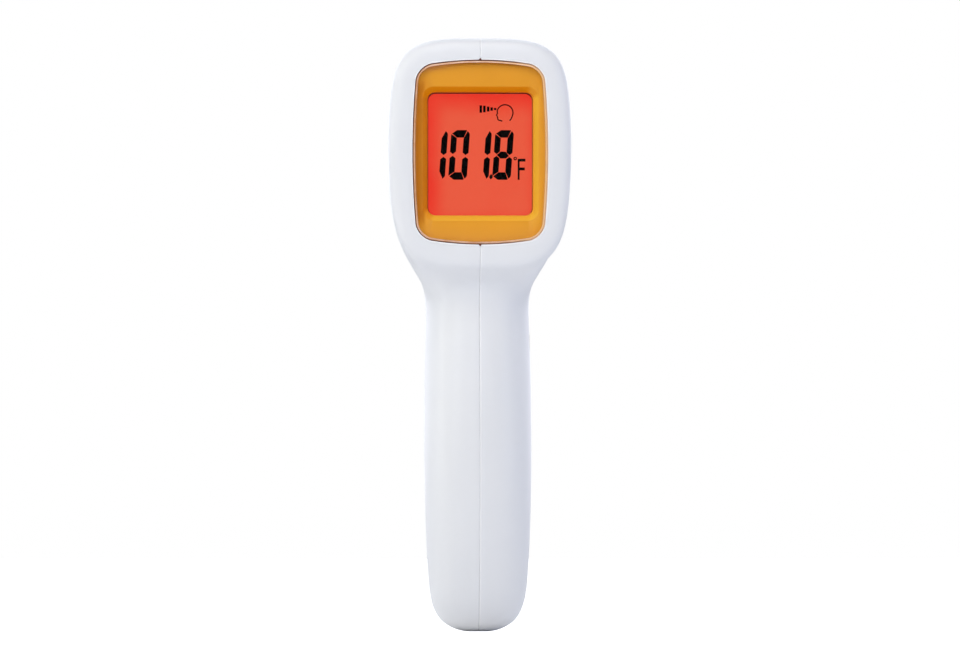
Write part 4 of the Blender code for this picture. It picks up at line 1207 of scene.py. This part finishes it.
def figure_shapes():
    """Every inked shape of the reading, a generic 101.8 with its unit, and of the small aiming sign."""
    shapes = []
    for shown, right in (("bc", -8.22), ("abcdef", -2.78), ("bc", 2.64), ("abcdefg", 8.11)):
        shapes += digit_outlines(shown, right - FIGURE_WIDTH)
    point = [(-0.4, -0.25), (0.0, -0.68), (0.4, -0.25), (0.4, 0.25), (0.0, 0.68), (-0.4, 0.25)]
    shapes.append([(3.2 + x, FIGURE_BOTTOM + 0.75 + z) for x, z in point])
    middle = (FIGURE_TOP + FIGURE_BOTTOM) / 2
    shapes = [[(x + (z - middle) * FIGURE_SLANT, z) for x, z in shape] for shape in shapes]

    turn = [math.radians(15 * i) for i in range(25)]
    degree = [(8.83 + 0.31 * math.cos(angle), 117.24 + 0.31 * math.sin(angle)) for angle in turn]
    shapes.append(stroke_outline(degree, 0.26))
    shapes += [bar(9.44, 111.98, 9.92, 117.16), bar(9.92, 116.50, 11.36, 117.20)]
    shapes.append(bar(9.92, 114.32, 11.20, 115.02))

    beam_z = 129.51
    for x, half_height in ((0.29, 0.92), (1.18, 0.82), (2.12, 0.62), (2.98, 0.42), (3.84, 0.26)):
        shapes.append(bar(x - 0.31, beam_z - half_height, x + 0.31, beam_z + half_height))
    head = [(7.44, 126.63), (7.86, 127.15), (8.12, 127.8)]
    for step in range(15):
        angle = math.radians(-8 + 172 * step / 14)
        head.append((6.29 + 1.99 * math.cos(angle), 128.58 + 2.0 * math.sin(angle)))
    head += [(4.36, 128.75), (4.44, 128.4), (4.14, 127.98), (4.4, 127.78), (4.38, 127.5), (4.52, 127.3)]
    head += [(4.48, 127.0), (4.75, 126.74), (5.2, 126.66), (5.62, 126.48)]
    shapes.append(stroke_outline(head, 0.3))
    return shapes


def build_display_panel():
    """The lit panel, a rim round it coloured as painted shade and highlight, and the thin inked figures on its
    face.
    """
    panel = ((2.2, 0.05), (2.35, 0.2), (2.35, 1.9))
    rings = [lcd_ring(offset, LCD_FACE_Y + depth) for offset, depth in panel]
    finish_piece(loft("lit_panel", rings), "lcd_glass", replaces="lcd_panel")
    # A thin rim round the lit area, coloured as painted shade along its top and sides and a painted highlight
    # along its foot.
    mask = []
    for offset, depth in ((-0.22, -0.1), (0.6, -0.1), (0.6, -0.02), (-0.22, -0.02)):
        mask.append([(x, y, z - 0.08) for x, y, z in lcd_ring(offset, LCD_FACE_Y + depth)])
    finish_piece(loft("lcd_rim_shade", mask, cyclic=True), "panel_rim_painted_shade")
    shape = bmesh.new()
    front, back = LCD_FACE_Y - 0.02, LCD_FACE_Y + 0.04
    for outline in figure_shapes():
        low, high = ([shape.verts.new(Vector((x, y, z)) * MM) for x, z in outline] for y in (front, back))
        count = len(outline)
        if count > 8:
            for i in range(count // 2 - 1):
                shape.faces.new((low[i], low[i + 1], low[count - 2 - i], low[count - 1 - i]))
                shape.faces.new((high[i], high[count - 1 - i], high[count - 2 - i], high[i + 1]))
        else:
            shape.faces.new(low)
            shape.faces.new(high[::-1])
        for i in range(count):
            j = (i + 1) % count
            shape.faces.new((low[i], high[i], high[j], low[j]))
    finish_piece(to_object("lcd_figures", shape), "figure_ink")


# ---------------------------------------------------------------- nose, buttons and trigger


def build_nose():
    """The orange band, the stepped hood, and the sensor with its barrel, can and filter."""
    band = [(13.7, 36.3), (15.7, 36.3), (15.7, 38.5), (15.0, 39.2), (13.7, 39.2)]
    hood = [(6.5, 29.6), (9.5, 29.6), (9.5, 31.0), (14.2, 31.0), (14.2, 33.4), (13.2, 33.4), (13.2, 42.0)]
    hood += [(12.4, NOSE_TIP_Y), (10.8, NOSE_TIP_Y), (10.2, 42.4), (9.2, 40.6), (9.0, 40.6), (7.9, 38.9)]
    hood += [(7.7, 38.9), (6.6, 37.3), (6.4, 37.3), (4.9, 35.2), (4.9, 33.6), (6.5, 33.6)]
    barrel = [(4.9, 22.0), (6.1, 22.0), (6.1, 33.2), (4.9, 33.2)]
    can = [(0, 27.6), (4.55, 27.6), (4.55, 28.4), (4.1, 28.4), (4.1, 33.9), (2.9, 33.9), (2.9, 33.3)]
    can.append((0, 33.3))
    lens = [(0, 33.55), (2.6, 33.55), (2.6, 33.9), (0, 33.9)]
    for name, look, node, profile, rounding, steps, sides in (
        ("nose_band", "orange_plastic", "nose_ring", band, 0.45, 4, 128),
        ("nose_hood", "white_plastic", "nose_cone", hood, 0.3, 3, 128),
        ("sensor_barrel", "nickel_brass", "sensor_sleeve", barrel, 0.25, 4, 96),
        ("sensor_can", "bright_steel", "thermopile_can", can, 0.25, 4, 96),
        ("sensor_filter", "silicon_filter", "thermopile_filter", lens, 0.08, 4, 64),
    ):
        piece = turned(name, arc_corner(profile, rounding, steps), (0, 0, NOSE_Z), (0, 1, 0), sides)
        finish_piece(piece, look, replaces=node)


def build_buttons():
    """Three flanged buttons with slightly domed faces and raised signs."""
    for name, y, surface in BUTTON_ROW:
        face, flange = surface - 0.2, surface - WALL - 0.9
        profile = [(0, flange - 0.8), (4.2, flange - 0.8), (4.2, flange), (3.25, flange)]
        profile += [(3.25, face - 0.45), (3.1, face - 0.12)]
        for step in range(1, 9):
            share = 1 - step / 8
            profile.append((2.95 * share, face - 0.1 * share**4 - 0.16 * (1 - share) ** 2))
        button = turned(f"{name}_cap", profile, (0, y, BUTTON_Z), (-1, 0, 0), 72)
        finish_piece(button, "grey_plastic", name, replaces=name)
        for number, outline in enumerate(BUTTON_MARKS[name], 1):
            shape = [(y + u, BUTTON_Z + v) for u, v in outline]
            depths = (-face - 0.02, -face + 0.5)
            mark = prism(f"{name}_mark_{number}", shape, "YZ", *depths, bevel=0.05, segments=2)
            finish_piece(mark, "black_plastic", name)


def trigger_outline():
    """The trigger from the side, as (y, z): the finger's curve, foot, back and the eye round its pin."""
    finger = [(1.5, 90.8), (3.9, 88.4), (4.5, 84.5), (3.3, 79.2), (3.1, 74.8), (4.4, 70.8), (4.4, 68.8)]
    finger.append((2.8, 67.9))
    curve = [tuple(point) for point in through(finger, 8)]
    pivot_y, pivot_z = TRIGGER_PIVOT
    angles = [math.radians(270 - 180 * step / 16) for step in range(17)]
    eye = [(pivot_y + 2.4 * math.cos(angle), pivot_z + 2.4 * math.sin(angle)) for angle in angles]
    return [*curve, (-4.9, 67.9), (-5.5, 84.6), *eye]


def build_trigger():
    """The trigger, with its pin hole and five finger grooves."""
    y, z = TRIGGER_PIVOT
    half = TRIGGER_HALF_WIDTH
    outline = trigger_outline()
    trigger = prism("finger_trigger", outline, "YZ", -half, half, bevel=0.9, segments=5, sharp=40.0)
    carve(trigger, rod("trigger_pin_hole", 1.15, (-12, y, z), (12, y, z)))
    front = [place for place in outline if place[0] > 2.5]
    for groove_z in (73.6, 75.4, 77.2, 79.0, 80.8):
        groove_y = min(front, key=lambda place: abs(place[1] - groove_z))[0] + 0.12
        carve(trigger, rod("finger_groove", 0.46, (-4.9, groove_y, groove_z), (4.9, groove_y, groove_z), 24))
    smooth(trigger.data, 35)
    finish_piece(trigger, "orange_plastic", "trigger", replaces="trigger")


# ---------------------------------------------------------------- screws and the battery bay


def build_screws():
    """Five pan-head screws, each with a cross slot."""
    profile = [(0, -5.0), (0.3, -5.0), (0.85, -4.0), (0.85, 6.1), (1.8, 6.1), (1.8, 6.9), (1.5, 7.3)]
    profile = arc_corner([*profile, (0.9, 7.5), (0, 7.55)], 0.15, 3)
    for number, (y, z) in enumerate(SCREW_PLACES, 1):
        screw = turned(f"screw_{number}", profile, (0, y, z), (1, 0, 0), 48)
        for wide, narrow in ((1.15, 0.22), (0.22, 1.15)):
            carve(screw, box("cross_slot", (6.9, y - wide, z - narrow), (8.2, y + wide, z + narrow)))
        smooth(screw.data, 35)
        finish_piece(screw, "bright_steel", replaces=f"case_screw_{number}")


def build_battery_bay():
    """Two cells, their springs and contact plates, made upright and then tilted to lie in the handle."""
    tilt = Matrix.Translation(Vector(CELL_FOOT) * MM) @ Matrix.Rotation(-CELL_LEAN, 4, "X")
    nub, crimp, radius, top = 1.0, 0.5, CELL_RADIUS, CELL_LENGTH
    profile = [(0, 0), (3.2, 0), (3.4, 0.25), (radius - crimp, 0.25), (radius, crimp + 0.25)]
    profile += [(radius, top - nub - crimp), (radius - crimp, top - nub), (2.5, top - nub - 0.1)]
    profile += [(1.9, top - nub), (1.9, top), (0, top)]
    profile = arc_corner(profile, 0.22, 3)
    right_place, left_place = ("right", CELL_SPACING, 4.0, 0.0), ("left", -CELL_SPACING, top + 0.4, math.pi)
    for side, x, foot, turn in (right_place, left_place):
        cell = turned(f"{side}_cell", profile, (0, 0, 0), (0, 0, 1), 72)
        finish_piece(cell, "cell_jacket", replaces=f"{side}_battery")
        lifted = Matrix.Translation(Vector((x, 0, foot)) * MM)
        cell.matrix_world = tilt @ lifted @ Matrix.Rotation(turn, 4, "X")
    upper = tube("upper_spring", coil((-CELL_SPACING, 0, top + 1.1), 3.9, 1.8, 3.2, 3.0), 0.35)
    lower = tube("lower_spring", coil((CELL_SPACING, 0, 0.4), 2.9, 3.2, 1.8, 3.0), 0.35)
    plate_z = 4.0 + top + 0.3
    low, high = (CELL_SPACING - 3, -3.2, plate_z), (CELL_SPACING + 3, 3.2, plate_z + 0.4)
    plate = box("positive_plate", low, high, 0.15)
    bridge = box("bridge_plate", (-8.2, -2.6, -0.7), (8.2, 2.6, -0.3), 0.15)
    for piece, look, node in (
        (upper, "bright_steel", "upper_battery_spring"),
        (lower, "bright_steel", "lower_battery_spring"),
        (plate, "nickel_brass", "positive_contact"),
        (bridge, "nickel_brass", "bridge_contact"),
    ):
        piece.data.transform(tilt)
        finish_piece(piece, look, replaces=node)


def dress_cad_nodes():
    """Gives every CAD node that stays its slot's procedural material."""
    slots = {entry["node"]: entry["material_slot"] for entry in frame["record"]["subparts"]}
    for name, node in frame["nodes"].items():
        for material_slot in node.material_slots:
            material_slot.material = LOOKS[slots[name]].holder


# ---------------------------------------------------------------- floor, light and camera


def aim(obj, place, target):
    """Puts a light or camera at a place, looking at the target."""
    obj.location = place
    obj.rotation_mode = "QUATERNION"
    obj.rotation_quaternion = (Vector(target) - Vector(place)).to_track_quat("-Z", "Y")


def build_floor():
    """A wide pale floor that shows white to the camera."""
    shape = bmesh.new()
    bmesh.ops.create_grid(shape, x_segments=8, y_segments=8, size=6.0)
    floor = to_object("floor", shape)
    floor.location.z = -0.0002
    look = Look("floor_paper")
    is_seen = look.node("ShaderNodeLightPath").outputs["Is Camera Ray"]
    look.set(
        Base_Color=look.mix(look.patches(9.0, 2.0), (0.90, 0.90, 0.905, 1), (0.92, 0.92, 0.925, 1)),
        Roughness=0.8,
        Emission_Color=(1, 1, 1, 1),
        Emission_Strength=look.math("MULTIPLY", is_seen, FLOOR_GLOW),
        Specular_IOR_Level=0.1,
    )
    floor.data.materials.append(look.holder)


def build_lights():
    """A white room that lights the object mostly from beyond its front, and nine soft boxes."""
    sky = Look("studio", bpy.data.worlds)
    bpy.context.scene.world = sky.holder
    shown = sky.tree.nodes["Background"]
    shown.inputs["Color"].default_value = (1.0, 1.0, 1.0, 1)
    shown.inputs["Strength"].default_value = 1.0
    glow = sky.node("ShaderNodeBackground")
    glow.inputs["Color"].default_value = (0.91, 0.925, 1.0, 1)
    forwards = sky.math("MAXIMUM", sky.axis("Y", sky.coordinates.outputs["Generated"]), 0.0)
    sky.plug(glow.inputs["Strength"], sky.math("MULTIPLY_ADD", forwards, BACKDROP_GLOW, ROOM_GLOW))
    sky.layer(sky.node("ShaderNodeLightPath").outputs["Is Camera Ray"], glow, shown)
    for name, place, size, energy, colour in LIGHTS:
        light = bpy.data.lights.new(name, "AREA")
        light.shape = "RECTANGLE"
        light.size, light.size_y = size
        light.energy = energy
        light.color = colour
        aim(placed(name, light), place, LIT_POINT)


def build_camera():
    """A long lens straight behind the object, a little to its left and a little below level."""
    camera = bpy.data.cameras.new("camera")
    camera.sensor_width = SENSOR_WIDTH
    camera.lens = SENSOR_WIDTH * CAMERA_DISTANCE / (VIEW_WIDTH * MM)
    obj = placed("camera", camera)
    bpy.context.scene.camera = obj
    level = math.cos(CAMERA_RISE)
    back = Vector((-math.sin(CAMERA_TURN) * level, -math.cos(CAMERA_TURN) * level, math.sin(CAMERA_RISE)))
    target = Vector(CAMERA_AIM) * MM
    aim(obj, target + back * CAMERA_DISTANCE, target)


# ---------------------------------------------------------------- everything


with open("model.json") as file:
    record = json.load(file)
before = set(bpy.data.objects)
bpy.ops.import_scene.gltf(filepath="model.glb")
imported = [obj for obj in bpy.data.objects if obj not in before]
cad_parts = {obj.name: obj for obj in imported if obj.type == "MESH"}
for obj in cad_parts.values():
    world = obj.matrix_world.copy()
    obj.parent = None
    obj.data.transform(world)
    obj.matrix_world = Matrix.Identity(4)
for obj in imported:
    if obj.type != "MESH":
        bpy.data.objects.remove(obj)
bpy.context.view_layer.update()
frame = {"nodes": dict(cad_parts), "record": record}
bpy.context.scene.view_settings.view_transform = "Standard"

form = casing_form(FORM_LEVELS, "form")
inner = inner_form()
build_casing(form, inner)
build_seam(form)
build_door(form, inner)
bpy.data.objects.remove(form)
bpy.data.objects.remove(inner)
build_window()
build_bezel()
build_display_panel()
build_nose()
build_buttons()
build_trigger()
build_screws()
build_battery_bay()
dress_cad_nodes()
build_floor()
build_lights()
build_camera()
